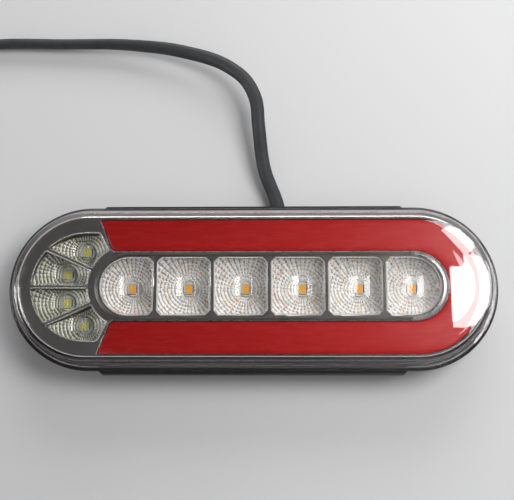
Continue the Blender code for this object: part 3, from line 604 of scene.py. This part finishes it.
def facet_painted_shading(k, i, t, x):
    """Painted shade and light of one mesh face of a bowl, from how far it turns to the light: 0 away from it, 1
    towards it.
    """
    across = (i % FACET_STEPS + 0.5) / FACET_STEPS
    outwards = ((k - 1) % FACET_STEPS + 0.5) / FACET_STEPS
    round_slope = 4 * (1 - 2 * across) * outwards * (1 - outwards)
    out_slope = 4 * (1 - 2 * outwards) * across * (1 - across)
    slope_x = out_slope * cos(t) - round_slope * sin(t)
    slope_y = out_slope * sin(t) + round_slope * cos(t)
    ragged = scattered(k * 39.3468 + i * 11.1351 + x, 24634.6345) - 0.5
    away = cos(t) * PAINTED_LIGHT_FROM[0] + sin(t) * PAINTED_LIGHT_FROM[1]
    lift = LIFT + PAINTED_LIGHT_RIGHT * max(0.0, (x - ROW_LEFT) / (ROW_RIGHT - ROW_LEFT))
    return (0.5 - PAINTED_SHADE_CONTRAST * (slope_x * PAINTED_LIGHT_FROM[0] + slope_y * PAINTED_LIGHT_FROM[1])
            + PAINTED_FILL * away + RAGGED * ragged + lift)


def facet_tone(k, i, x):
    """One share for all the mesh faces of a facet."""
    facet_ring = (k - 1) // FACET_STEPS + 1
    return scattered(facet_ring * 12.9898 + (i // FACET_STEPS) * 78.233 + x)


def bowl(bm, outline, x, y, low, high):
    """Faceted dish from a round floor opening to an outline; returns its floor and rim loops."""
    around = FACETS * FACET_STEPS
    turns = [2 * pi * i / around for i in range(around)]
    reaches = [edge_distance(outline, x, y, t) for t in turns]
    far = max(reaches)
    rings = ceil((far - FLOOR_R) / RING_PITCH)
    steps = rings * FACET_STEPS
    opening = [(x + FLOOR_R * cos(t), y + FLOOR_R * sin(t)) for t in turns]
    floor_loop = ring(bm, opening, low - FLOOR_DROP)
    last = ring(bm, opening, low)
    bridge(bm, floor_loop, last)
    tone = bm.faces.layers.float["tone"]
    painted_shading = bm.faces.layers.float["painted_shading"]
    for k in range(1, steps + 1):
        radius = FLOOR_R + (far - FLOOR_R) * k / steps
        loop = []
        for i, t in enumerate(turns):
            reach = min(radius, reaches[i])
            rise = (reach**2 - FLOOR_R**2) / (far**2 - FLOOR_R**2)
            across = (i % FACET_STEPS) / FACET_STEPS
            outwards = ((reach - FLOOR_R) / (far - FLOOR_R) * rings) % 1
            bulge = 16 * across * (1 - across) * outwards * (1 - outwards)
            z = low + (high - low) * (BOWL_SHARE * rise) + PILLOW * bulge
            loop.append(bm.verts.new((x + reach * cos(t), y + reach * sin(t), z)))
        for i, t in enumerate(turns):
            j = (i + 1) % around
            face = bm.faces.new((last[i], last[j], loop[j], loop[i]))
            # painted shade and light for each face, and a random level for each facet
            face[painted_shading] = facet_painted_shading(k, i, t, x)
            face[tone] = facet_tone(k, i, x)
        last = loop
    rim = ring(bm, [(x + r * cos(t), y + r * sin(t)) for r, t in zip(reaches, turns)], high)
    bridge(bm, last, rim)
    return floor_loop, rim


def make_reflector(name, outer, mouths, leds, material, node):
    low = REFLECTOR_LOW.z
    high = REFLECTOR_HIGH.z
    bm = bmesh.new()
    bm.faces.layers.float.new("tone")
    bm.faces.layers.float.new("painted_shading")
    floors = [ring(bm, outer, low)]
    rims = [ring(bm, outer, high)]
    bridge(bm, floors[0], rims[0])
    for mouth, (x, y) in zip(mouths, leds):
        floor_loop, rim = bowl(bm, mouth, x, y, low + FLOOR_DROP, high)
        floors.append(floor_loop)
        rims.append(rim)
    fill(bm, rims)
    fill(bm, floors)
    bmesh.ops.remove_doubles(bm, verts=bm.verts, dist=0.002)
    bmesh.ops.dissolve_degenerate(bm, edges=bm.edges, dist=0.001)
    piece(bm, name, [material], stands_for=[node], sharp=24)


def led_place(node):
    centre = middle(node)
    return centre.x, centre.y


def make_reflectors():
    row_leds = [led_place(f"amber_led_{i + 1}") for i in range(CELL_COUNT)]
    row_mouths = [cell_outline(i, ROW_MOUTH_INSET) for i in range(CELL_COUNT)]
    outer = stadium(ROW_R + ROW_TRAY_WALL, ROW_LEFT, ROW_RIGHT, 32)
    make_reflector("faceted_row", outer, row_mouths, row_leds, ROW_CHROME, "row_reflector")
    fan_leds = [led_place(f"white_led_{i + 1}") for i in range(SECTOR_COUNT)]
    fan_mouths = [sector_outline(i, FAN_MOUTH_INSET) for i in range(SECTOR_COUNT)]
    outer = fan_outline(FAN_ANGLES[0], FAN_ANGLES[-1], 0, 32)
    make_reflector("faceted_fan", outer, fan_mouths, fan_leds, FAN_CHROME, "reverse_reflector")


WINDOW_CURVE = 13.7                     # radius of the hollow's left half, across the lamp
ROW_WINDOW = (5.3, 4.6, 5.0)            # its reach to the left, to the right, and each way up the lamp
FAN_WINDOW = (4.9, 1.6, 3.9)
WINDOW_FLAT = 0.4                       # share of the right half that stays at the hollow's full depth
WINDOW_END = 0.3                        # width of the slope along its upper and lower sides
ROW_LAP = 0.02                          # how far a pad widens above the bezel
FAN_LAP = 0.4                           # the fan's pads widen until they lap a little over its ribs
BASE_PLATE = 1.3
PAD_EASED = ((0.12, 0.5), (0.38, 0.18), (0.8, 0))       # inset and fall of a pad's rounded edge
PAD_LOOKS = [INNER_CLEAR, PAD_EDGE, PAD_WINDOW, PAD_PAINTED_HIGHLIGHT]


def hollow(bm, x, y, top, size):
    """Smooth trough in a pad's top, over an LED; returns its rim loop."""
    left, right, half = size
    steps = 12
    sag = left**2 / (2 * WINDOW_CURVE)
    places = [x - left + left * i / steps for i in range(steps + 1)]
    places += [x + right * share for share in (WINDOW_FLAT, 0.6, 0.8, 1)]
    upper = [bm.verts.new((px, y + half, top)) for px in places]
    lower = [bm.verts.new((px, y - half, top)) for px in places]
    far = [upper[0]]
    near = [lower[0]]
    for px in places[1:-1]:
        rise = (px - x - right * WINDOW_FLAT) / (right * (1 - WINDOW_FLAT))
        z = top - sag + (sag * rise**2 if rise > 0 else min(px - x, 0) ** 2 / (2 * WINDOW_CURVE))
        far.append(bm.verts.new((px, y + half - WINDOW_END, z)))
        near.append(bm.verts.new((px, y - half + WINDOW_END, z)))
    far.append(upper[-1])
    near.append(lower[-1])
    for i in range(len(places) - 1):
        bottom = bm.faces.new((near[i], near[i + 1], far[i + 1], far[i]))
        bottom.material_index = PAD_LOOKS.index(PAD_WINDOW)
        for edge, row in ((upper, far), (lower, near)):
            corners = list(dict.fromkeys((edge[i], edge[i + 1], row[i + 1], row[i])))
            if len(corners) > 2:
                bm.faces.new(corners)
    return lower + upper[::-1]


def sharpen_between_materials(mesh):
    """Keep the shading of one material's faces apart from the next one's."""
    kinds = {}
    for face in mesh.polygons:
        for key in face.edge_keys:
            kinds.setdefault(key, set()).add(face.material_index)
    for edge in mesh.edges:
        if len(kinds[edge.key]) > 1:
            edge.use_edge_sharp = True


def make_inner_lens(name, base, pads, leds, window, lap, node):
    """Clear moulding: a base plate and a pillow that stands through each window of the bezel."""
    low = ROW_LOW.z
    base_top = low + BASE_PLATE
    top = ROW_HIGH.z
    bm = bmesh.new()
    floor_loop = ring(bm, base, low)
    base_rim = ring(bm, base, base_top)
    bridge(bm, floor_loop, base_rim)
    bm.faces.new(floor_loop)
    holes = [base_rim]
    shoulder = BEZEL_HIGH.z + 0.1
    levels = [(0, base_top), (0, shoulder), (-lap, shoulder + 0.02)]
    levels += [(inset - lap, top - fall) for inset, fall in PAD_EASED]
    for pad, (x, y) in zip(pads, leds):
        loops = [ring(bm, pad(inset), z) for inset, z in levels]
        for lower, upper in zip(loops, loops[1:]):
            bridge(bm, lower, upper, PAD_LOOKS.index(PAD_EDGE))
        fill(bm, [loops[-1], hollow(bm, x, y, top, window)])
        holes.append(loops[0])
    fill(bm, holes)
    made = piece(bm, name, PAD_LOOKS, stands_for=[node], sharp=40)
    sharpen_between_materials(made.data)
    return made


def make_inner_lenses():
    """Both clear mouldings; the left edges of the row's pads carry a painted highlight."""
    row_pads = [lambda inset, i=i: cell_outline(i, PAD_GAP + inset) for i in range(CELL_COUNT)]
    row_leds = [led_place(f"amber_led_{i + 1}") for i in range(CELL_COUNT)]
    base = stadium(ROW_R + 0.2, ROW_LEFT, ROW_RIGHT, 32)
    row = make_inner_lens("clear_row_lens", base, row_pads, row_leds, ROW_WINDOW, ROW_LAP, "row_inner_lens")
    edge = PAD_LOOKS.index(PAD_EDGE)
    # painted highlight: a whitish strip on the left edge of each of the row's pads
    for face in row.data.polygons:
        if face.material_index == edge and face.normal.x < -0.3 and abs(face.normal.y) < 0.1:
            face.material_index = PAD_LOOKS.index(PAD_PAINTED_HIGHLIGHT)
    fan_leds = [led_place(f"white_led_{i + 1}") for i in range(SECTOR_COUNT)]
    fan_pads = [lambda inset, i=i: shrink_to(sector_outline(i, PAD_GAP), inset) for i in range(SECTOR_COUNT)]
    base = fan_outline(FAN_ANGLES[0], FAN_ANGLES[-1], 0.2, 32)
    make_inner_lens("clear_fan_lens", base, fan_pads, fan_leds, FAN_WINDOW, FAN_LAP, "reverse_inner_lens")


def shrink_to(outline, inset):
    """Move every point of an outline inwards, square to its two sides."""
    area = sum(x0 * y1 - x1 * y0 for (x0, y0), (x1, y1) in zip(outline, outline[1:] + outline[:1]))
    step = inset if area > 0 else -inset
    points = []
    for before, here, after in zip(outline[-1:] + outline[:-1], outline, outline[1:] + outline[:1]):
        along = (Vector(after) - Vector(before)).normalized()
        points.append((here[0] - along.y * step, here[1] + along.x * step))
    return points


GUIDE_INNER_R = 17.1
GUIDE_INNER_RIGHT = 78.2
GUIDE_SLANT = 6.3                       # how far each end of the C leans across the lamp
GUIDE_CHAMFER = 1.2
GUIDE_EASED = ((0, 0.9), (0.1, 0.55), (0.35, 0.3), (0.8, 0.14), (2.2, 0.05), (4.5, 0))   # inset and fall
BEAD_R = 0.3                            # bead of the bezel round the red moulding, with a painted highlight on its inner part


def guide_outline(inset, steps=64):
    outer = GUIDE_R - inset
    inner = GUIDE_INNER_R + inset
    top = arc(END_X, 0, outer, -90, 90, steps)
    inside = arc(GUIDE_INNER_RIGHT, 0, inner, 90, -90, steps)
    cut = GUIDE_CHAMFER
    left = GUIDE_LOW.x + inset
    right = left + GUIDE_SLANT
    upper = [(left, outer), (right - cut * 0.4, inner + cut), (right + cut, inner)]
    return top + upper + inside + [(x, -y) for x, y in reversed(upper)]


def make_red_guide():
    """Red moulding with eased edges, and the bezel's bead round it: a painted highlight inside, smoked along
    the lens.
    """
    top = GUIDE_HIGH.z
    levels = [(0, GUIDE_LOW.z)] + [(inset, top - fall) for inset, fall in GUIDE_EASED]
    looks = [RED, PAINTED_HIGHLIGHT_METAL, SMOKE]
    bm = bmesh.new()
    skin(bm, [[(x, y, z) for x, y in guide_outline(inset)] for inset, z in levels])
    bead = [(BEAD_R * cos(t), BEAD_R * sin(t)) for t in (radians(45 * k) for k in range(8))]
    rings = [[(x, y, top + up) for x, y in guide_outline(-BEAD_R - out)] for out, up in bead]
    skin(bm, rings, closed=True, slot=looks.index(PAINTED_HIGHLIGHT_METAL))
    # painted highlight: the bead is bright inside the red moulding's outline and smoked beyond it
    for face in bm.faces:
        x, y, _ = face.calc_center_median()
        if face.material_index == looks.index(PAINTED_HIGHLIGHT_METAL) and hypot(max(x - END_X, 0), y) > GUIDE_R:
            face.material_index = looks.index(SMOKE)
    piece(bm, "red_c_guide", looks, stands_for=["red_light_guide"], sharp=60)


# radius and height of each point of the trim ring's section
TRIM_SECTION = ((15.3, 0), (15.3, 0.36), (15.45, 0.44), (15.6, 0.43), (16.75, 0.12), (16.8, 0))


def make_row_trim():
    """Low sloped ring on the bezel round the row of cells, with a painted highlight at its right end."""
    foot = BEZEL_HIGH.z + 0.02
    rings = [[(x, y, foot + up) for x, y in stadium(r, ROW_LEFT, ROW_RIGHT, 48)] for r, up in TRIM_SECTION]
    looks = [SMOKE, PAINTED_HIGHLIGHT_METAL]
    bm = bmesh.new()
    skin(bm, rings, closed=True)
    # painted highlight: the ring's right end takes the brighter copy of the smoked metal
    for face in bm.faces:
        if face.calc_center_median().x > ROW_RIGHT:
            face.material_index = looks.index(PAINTED_HIGHLIGHT_METAL)
    piece(bm, "row_trim_ring", looks, sharp=40)


def led_outline(scale=1.0, steps=10):
    half = (LED_HIGH.x - LED_LOW.x) / 2
    radius = (LED_HIGH.y - LED_LOW.y) / 2
    flat = degrees(acos(half / radius))
    outline = arc(0, 0, radius, flat, 180 - flat, steps) + arc(0, 0, radius, 180 + flat, 360 - flat, steps)
    return [(x * scale, y * scale) for x, y in outline]


def rectangle(half_x, half_y, corner=0.25):
    x = half_x - corner
    y = half_y - corner
    return (arc(x, y, corner, 0, 90, 3) + arc(-x, y, corner, 90, 180, 3)
            + arc(-x, -y, corner, 180, 270, 3) + arc(x, -y, corner, 270, 360, 3))


def rayed(outline, steps=48):
    """An outline round the origin, redrawn with evenly spread points."""
    points = []
    for i in range(steps):
        turn = 2 * pi * (i + 0.5) / steps
        reach = edge_distance(outline, 0, 0, turn)
        points.append((reach * cos(turn), reach * sin(turn)))
    return points


GAP_SHADE_SHIFT = (0.36, -0.18)               # painted shade: the dark gap is widest to the right of the phosphor and below it
GAP_DEPTH = 0.4
FRAME_WIDTH = 0.22                      # pale frame between the phosphor and the gap
WIDE_DIE = 2.1                          # half the side of an amber or white LED's phosphor
SMALL_DIE = 1.7


def moved(outline, dx, dy):
    return [(x + dx, y + dy) for x, y in outline]


def make_led(node, phosphor, die_half):
    """Package with a shallow gap painted dark as shade, and a pale frame round its phosphor square."""
    x, y = led_place(node)
    low, high = span(node)
    top = high.z
    frame_half = die_half + FRAME_WIDTH
    looks = [PACKAGE, PAINTED_GAP_SHADE, phosphor]
    body, gap, die = range(len(looks))
    levels = (
        (led_outline(), low.z, body),
        (led_outline(), top - 0.35, body),
        (led_outline(0.97), top - 0.08, body),
        (led_outline(0.94), top, body),
        (moved(rectangle(frame_half + 0.50, frame_half + 0.32), *GAP_SHADE_SHIFT), top, body),
        (moved(rectangle(frame_half + 0.48, frame_half + 0.30), *GAP_SHADE_SHIFT), top - GAP_DEPTH, gap),
        (rectangle(frame_half, frame_half), top - GAP_DEPTH, gap),
        (rectangle(frame_half, frame_half), top - 0.1, body),
        (rectangle(die_half + 0.04, die_half + 0.04), top - 0.06, body),
        (rectangle(die_half, die_half), top, die),
        (rectangle(die_half - 0.15, die_half - 0.15), top + 0.05, die),
    )
    bm = bmesh.new()
    loops = [ring(bm, rayed(outline), z) for outline, z, _ in levels]
    for lower, upper, (_, _, part) in zip(loops, loops[1:], levels[1:]):
        bridge(bm, lower, upper, part)
    bm.faces.new(loops[0])
    bm.faces.new(loops[-1]).material_index = die
    bmesh.ops.translate(bm, vec=(x, y, 0), verts=bm.verts)
    piece(bm, node + "_package", looks, stands_for=[node])


def make_leds():
    for i in range(CELL_COUNT):
        make_led(f"amber_led_{i + 1}", AMBER, WIDE_DIE)
    for i in range(SECTOR_COUNT):
        make_led(f"white_led_{i + 1}", YELLOW, WIDE_DIE)
    for i in range(RED_COUNT):
        make_led(f"red_led_{i + 1}", RED_DIE, SMALL_DIE)


# ---------------------------------------------------------------- lead

LEAD_X = middle("lead_grommet").x
LEAD_Z = 6.5
LEAD_HALF_WIDTH = 3.45
LEAD_HALF_HEIGHT = 2.55
SWING = Vector(frame["joints"][0]["pos_m"]) / MM
BEND = Vector(frame["joints"][1]["pos_m"]) / MM
LEAD_ROUTE = (
    (LEAD_X, -14, LEAD_Z),
    (LEAD_X, 8, LEAD_Z),
    (LEAD_X, 26, 4.8),
    tuple(SWING),
    (5.7, 63.5, 6.6),
    (2.6, 86, 10.4),
    (0.9, 100.8, 12),
    tuple(BEND),
    (-12.8, 118, 11.3),
    (-37, 127.8, 8.5),
    (-66, 132.8, 6),
    (-102, 134.2, 4.3),
    (-136, 134.6, 4),
    (-168, 131, 4),
)
TWIST_START = 120.0                     # the section turns upright between these distances
TWIST_END = 230.0
SWING_BEFORE = 7.0                      # how far each joint's turn is spread along the lead
SWING_AFTER = 16.0
BEND_SPREAD = 16.0
CREASE_DEPTH = 0.035                    # faint crease along each flat side, in half heights
CREASE_HALF_WIDTH = 0.2                 # in half widths
LINE_SPACING = 1.6                      # between points of the lead's line
RING_SPACING = 1.8                      # between rings of its jacket


def lead_line():
    """Smooth line through the lead's route, with the distance along it of every route point."""
    route = [Vector(point) for point in LEAD_ROUTE]
    gaps = [(b - a).length for a, b in zip(route, route[1:])]
    slopes = [(route[1] - route[0]) / gaps[0]]
    for i in range(1, len(route) - 1):
        before = (route[i] - route[i - 1]) / gaps[i - 1]
        after = (route[i + 1] - route[i]) / gaps[i]
        slopes.append((before * gaps[i] + after * gaps[i - 1]) / (gaps[i - 1] + gaps[i]))
    slopes.append((route[-1] - route[-2]) / gaps[-1])
    line = [route[0]]
    marks = [0.0]
    travelled = 0.0
    for i, gap in enumerate(gaps):
        steps = ceil(gap / LINE_SPACING)
        for k in range(1, steps + 1):
            t = k / steps
            point = route[i] * (2 * t**3 - 3 * t**2 + 1) + route[i + 1] * (3 * t**2 - 2 * t**3)
            point += slopes[i] * gap * (t**3 - 2 * t**2 + t) + slopes[i + 1] * gap * (t**3 - t**2)
            travelled += (point - line[-1]).length
            line.append(point)
        marks.append(travelled)
    return line, marks


def point_at(line, distance):
    left = distance
    for a, b in zip(line, line[1:]):
        length = (b - a).length
        if left <= length or b is line[-1]:
            return a.lerp(b, left / length), (b - a).normalized()
        left -= length


def lead_ring(line, distance, steps=24):
    """Oval section with a faint crease along each flat side; it turns upright further out."""
    centre, ahead = point_at(line, distance)
    sideways = ahead.cross(Vector((0, 0, 1))).normalized()
    upwards = sideways.cross(ahead)
    share = min(max((distance - TWIST_START) / (TWIST_END - TWIST_START), 0), 1)
    roll = radians(90) * share * share * (3 - 2 * share)
    wide = sideways * cos(roll) + upwards * sin(roll)
    tall = upwards * cos(roll) - sideways * sin(roll)
    points = []
    for x, y in circle(0, 0, 1, steps):
        crease = 1 - CREASE_DEPTH * max(0.0, 1 - abs(x) / CREASE_HALF_WIDTH)
        points.append(centre + wide * LEAD_HALF_WIDTH * x + tall * LEAD_HALF_HEIGHT * y * crease)
    return points


def lead_piece(name, line, start, end, nodes):
    """Continuous length of jacket."""
    count = ceil((end - start) / RING_SPACING)
    bm = bmesh.new()
    skin(bm, [lead_ring(line, start + (end - start) * i / count) for i in range(count + 1)])
    made = piece(bm, name, [JACKET], body=None, sharp=40)
    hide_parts(*nodes)
    return made


def blend_along(item, line, body, next_body, start, end):
    """Let an object bend from one body to the next between two distances along the lead."""
    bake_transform(item, body, next_body, point_at(line, start)[0] * MM, point_at(line, end)[0] * MM)


def make_lead():
    line, marks = lead_line()
    swing = marks[LEAD_ROUTE.index(tuple(SWING))]
    bend = marks[LEAD_ROUTE.index(tuple(BEND))]
    join = (swing + bend) / 2
    near = lead_piece("lead_jacket_near", line, 0, join, ["lead_exit", "lead_middle"])
    far = lead_piece("lead_jacket_far", line, join, marks[-1], ["lead_tail"])
    blend_along(near, line, LAMP, "lead_middle", swing - SWING_BEFORE, swing + SWING_AFTER)
    blend_along(far, line, "lead_middle", "lead_tail", bend - BEND_SPREAD, bend + BEND_SPREAD)


# ---------------------------------------------------------------- CAD nodes that keep their shape

def dress(node, material, edge=0.0):
    """Give a CAD node its finish, and round its edges if asked."""
    item = frame["nodes"][node]
    item.data.materials.clear()
    item.data.materials.append(material)
    for face in item.data.polygons:
        face.material_index = 0
    if edge:
        bevel(item, edge)


def dress_cad_nodes():
    dress("base_housing", BLACK, 0.25)
    dress("bezel_trim", SMOKE, 0.16)
    dress("lens_seal", RUBBER)
    dress("circuit_board", BOARD)
    dress("lead_grommet", RUBBER)
    dress("lead_clamp", ZINC)
    dress("smoothing_capacitor", CAN)
    for node in ("voltage_regulator", "polarity_diode", "driver_chip"):
        dress(node, CHIP, 0.15)
    for node in ("mounting_insert_left", "mounting_insert_right"):
        dress(node, BRASS)
    for node in [f"board_screw_{i + 1}" for i in range(4)] + ["clamp_screw_1", "clamp_screw_2"]:
        dress(node, ZINC)
    for colour, material in CORES.items():
        dress("board_core_" + colour, material)
        dress("tail_core_" + colour, material)


# ---------------------------------------------------------------- stage, light and camera

CAMERA_PLACE = Vector((13.3, -80.3, 518.2))
CAMERA_TARGET = Vector((2.26, 17.83, 26.0))
CAMERA_ROLL = radians(-6.44)
CAMERA_LENS = 72.04
CAMERA_SENSOR = 36.0
TABLE_REACH = 3000                      # the table is twice this long and wide
TABLE_DROP = 0.02                       # it lies just under the lamp


def make_camera():
    data = bpy.data.cameras.new("camera")
    data.lens = CAMERA_LENS
    data.sensor_width = CAMERA_SENSOR
    data.clip_start = 0.01
    data.clip_end = 20
    item = bpy.data.objects.new("camera", data)
    bpy.context.scene.collection.objects.link(item)
    item.location = CAMERA_PLACE * MM
    look = (CAMERA_TARGET - CAMERA_PLACE).to_track_quat("-Z", "Y")
    item.rotation_mode = "QUATERNION"
    item.rotation_quaternion = look @ Quaternion((0, 0, 1), CAMERA_ROLL)
    bpy.context.scene.camera = item


def make_floor():
    n = material_nodes("pale_table")
    patches = n.noise(3, 4)
    colour = n.ramp(patches, [(0.3, (0.62, 0.62, 0.62)), (0.7, (0.66, 0.66, 0.665))])
    grain = n.bump(n.noise(900, 3), 0.25, 0.02)
    material = n.finish(n.principled(Base_Color=colour, Roughness=0.6, Normal=grain))
    bm = bmesh.new()
    corners = [(x * TABLE_REACH, y * TABLE_REACH) for x, y in ((-1, -1), (1, -1), (1, 1), (-1, 1))]
    bm.faces.new(ring(bm, corners, -TABLE_DROP))
    piece(bm, "table", [material], body=None)


def area_light(name, place, size, radiance, diffuse=True, glossy=True, turn=None):
    """Rectangular soft light that looks at the lamp, or straight down with a turn in degrees."""
    data = bpy.data.lights.new(name, "AREA")
    data.shape = "RECTANGLE"
    data.size = size[0] * MM
    data.size_y = size[1] * MM
    data.energy = pi * radiance * data.size * data.size_y
    item = bpy.data.objects.new(name, data)
    bpy.context.scene.collection.objects.link(item)
    item.location = Vector(place) * MM
    if turn is not None:
        item.rotation_euler.z = radians(turn)
    else:
        item.rotation_mode = "QUATERNION"
        item.rotation_quaternion = (-Vector(place)).to_track_quat("-Z", "Y")
    item.visible_diffuse = diffuse
    item.visible_glossy = glossy


GLOW_WAY = Vector((0.27, 0.17, 0.95))


def make_world():
    """Even surroundings that darken overhead, with a faint glow a little right of straight up."""
    world = bpy.data.worlds.new("studio")
    bpy.context.scene.world = world
    n = Nodes(world, "ShaderNodeOutputWorld")
    way = n.add("ShaderNodeTexCoord").outputs["Generated"]
    split = n.add("ShaderNodeSeparateXYZ")
    n.link(way, split.inputs["Vector"])
    around = n.ramp(split.outputs["Z"], [(0.35, (0.42, 0.42, 0.43)), (0.93, (0.026, 0.026, 0.027))])
    near = n.add("ShaderNodeVectorMath", operation="DOT_PRODUCT")
    near.inputs[1].default_value = GLOW_WAY.normalized()
    n.link(way, near.inputs[0])
    glow = n.ramp(near.outputs["Value"], [(0.90, 0.0), (0.975, 0.04), (1.0, 0.22)])
    background = n.add("ShaderNodeBackground")
    n.link(n.combined(around, glow, "ADD"), background.inputs["Color"])
    n.finish(background.outputs["Background"])


CARD_HEIGHT = 1200


def make_lights():
    """Softboxes that light the lamp, and cards that are only mirrored in its lens."""
    area_light("key_softbox", (430, 170, 640), (400, 400), 8.6, glossy=False)
    area_light("back_window", (100, 900, 420), (900, 400), 5.0)
    area_light("front_fill", (350, -420, 850), (500, 400), 1.5, glossy=False)
    area_light("main_card", (485, 160, CARD_HEIGHT), (310, 169), 13, diffuse=False, turn=0)
    area_light("step_card", (503, 262, CARD_HEIGHT), (274, 35), 13, diffuse=False, turn=0)
    area_light("slant_card", (416, 377, CARD_HEIGHT), (98, 200), 11, diffuse=False, turn=-48.7)
    area_light("pale_card", (740, 206, CARD_HEIGHT), (200, 300), 8, diffuse=False, turn=0)
    area_light("left_card", (-700, 0, 600), (260, 500), 7, diffuse=False)
    make_world()
    bpy.context.scene.view_settings.view_transform = "Standard"


make_outer_lens()
make_reflectors()
make_inner_lenses()
make_red_guide()
make_row_trim()
make_leds()
make_lead()
dress_cad_nodes()
make_floor()
make_lights()
make_camera()
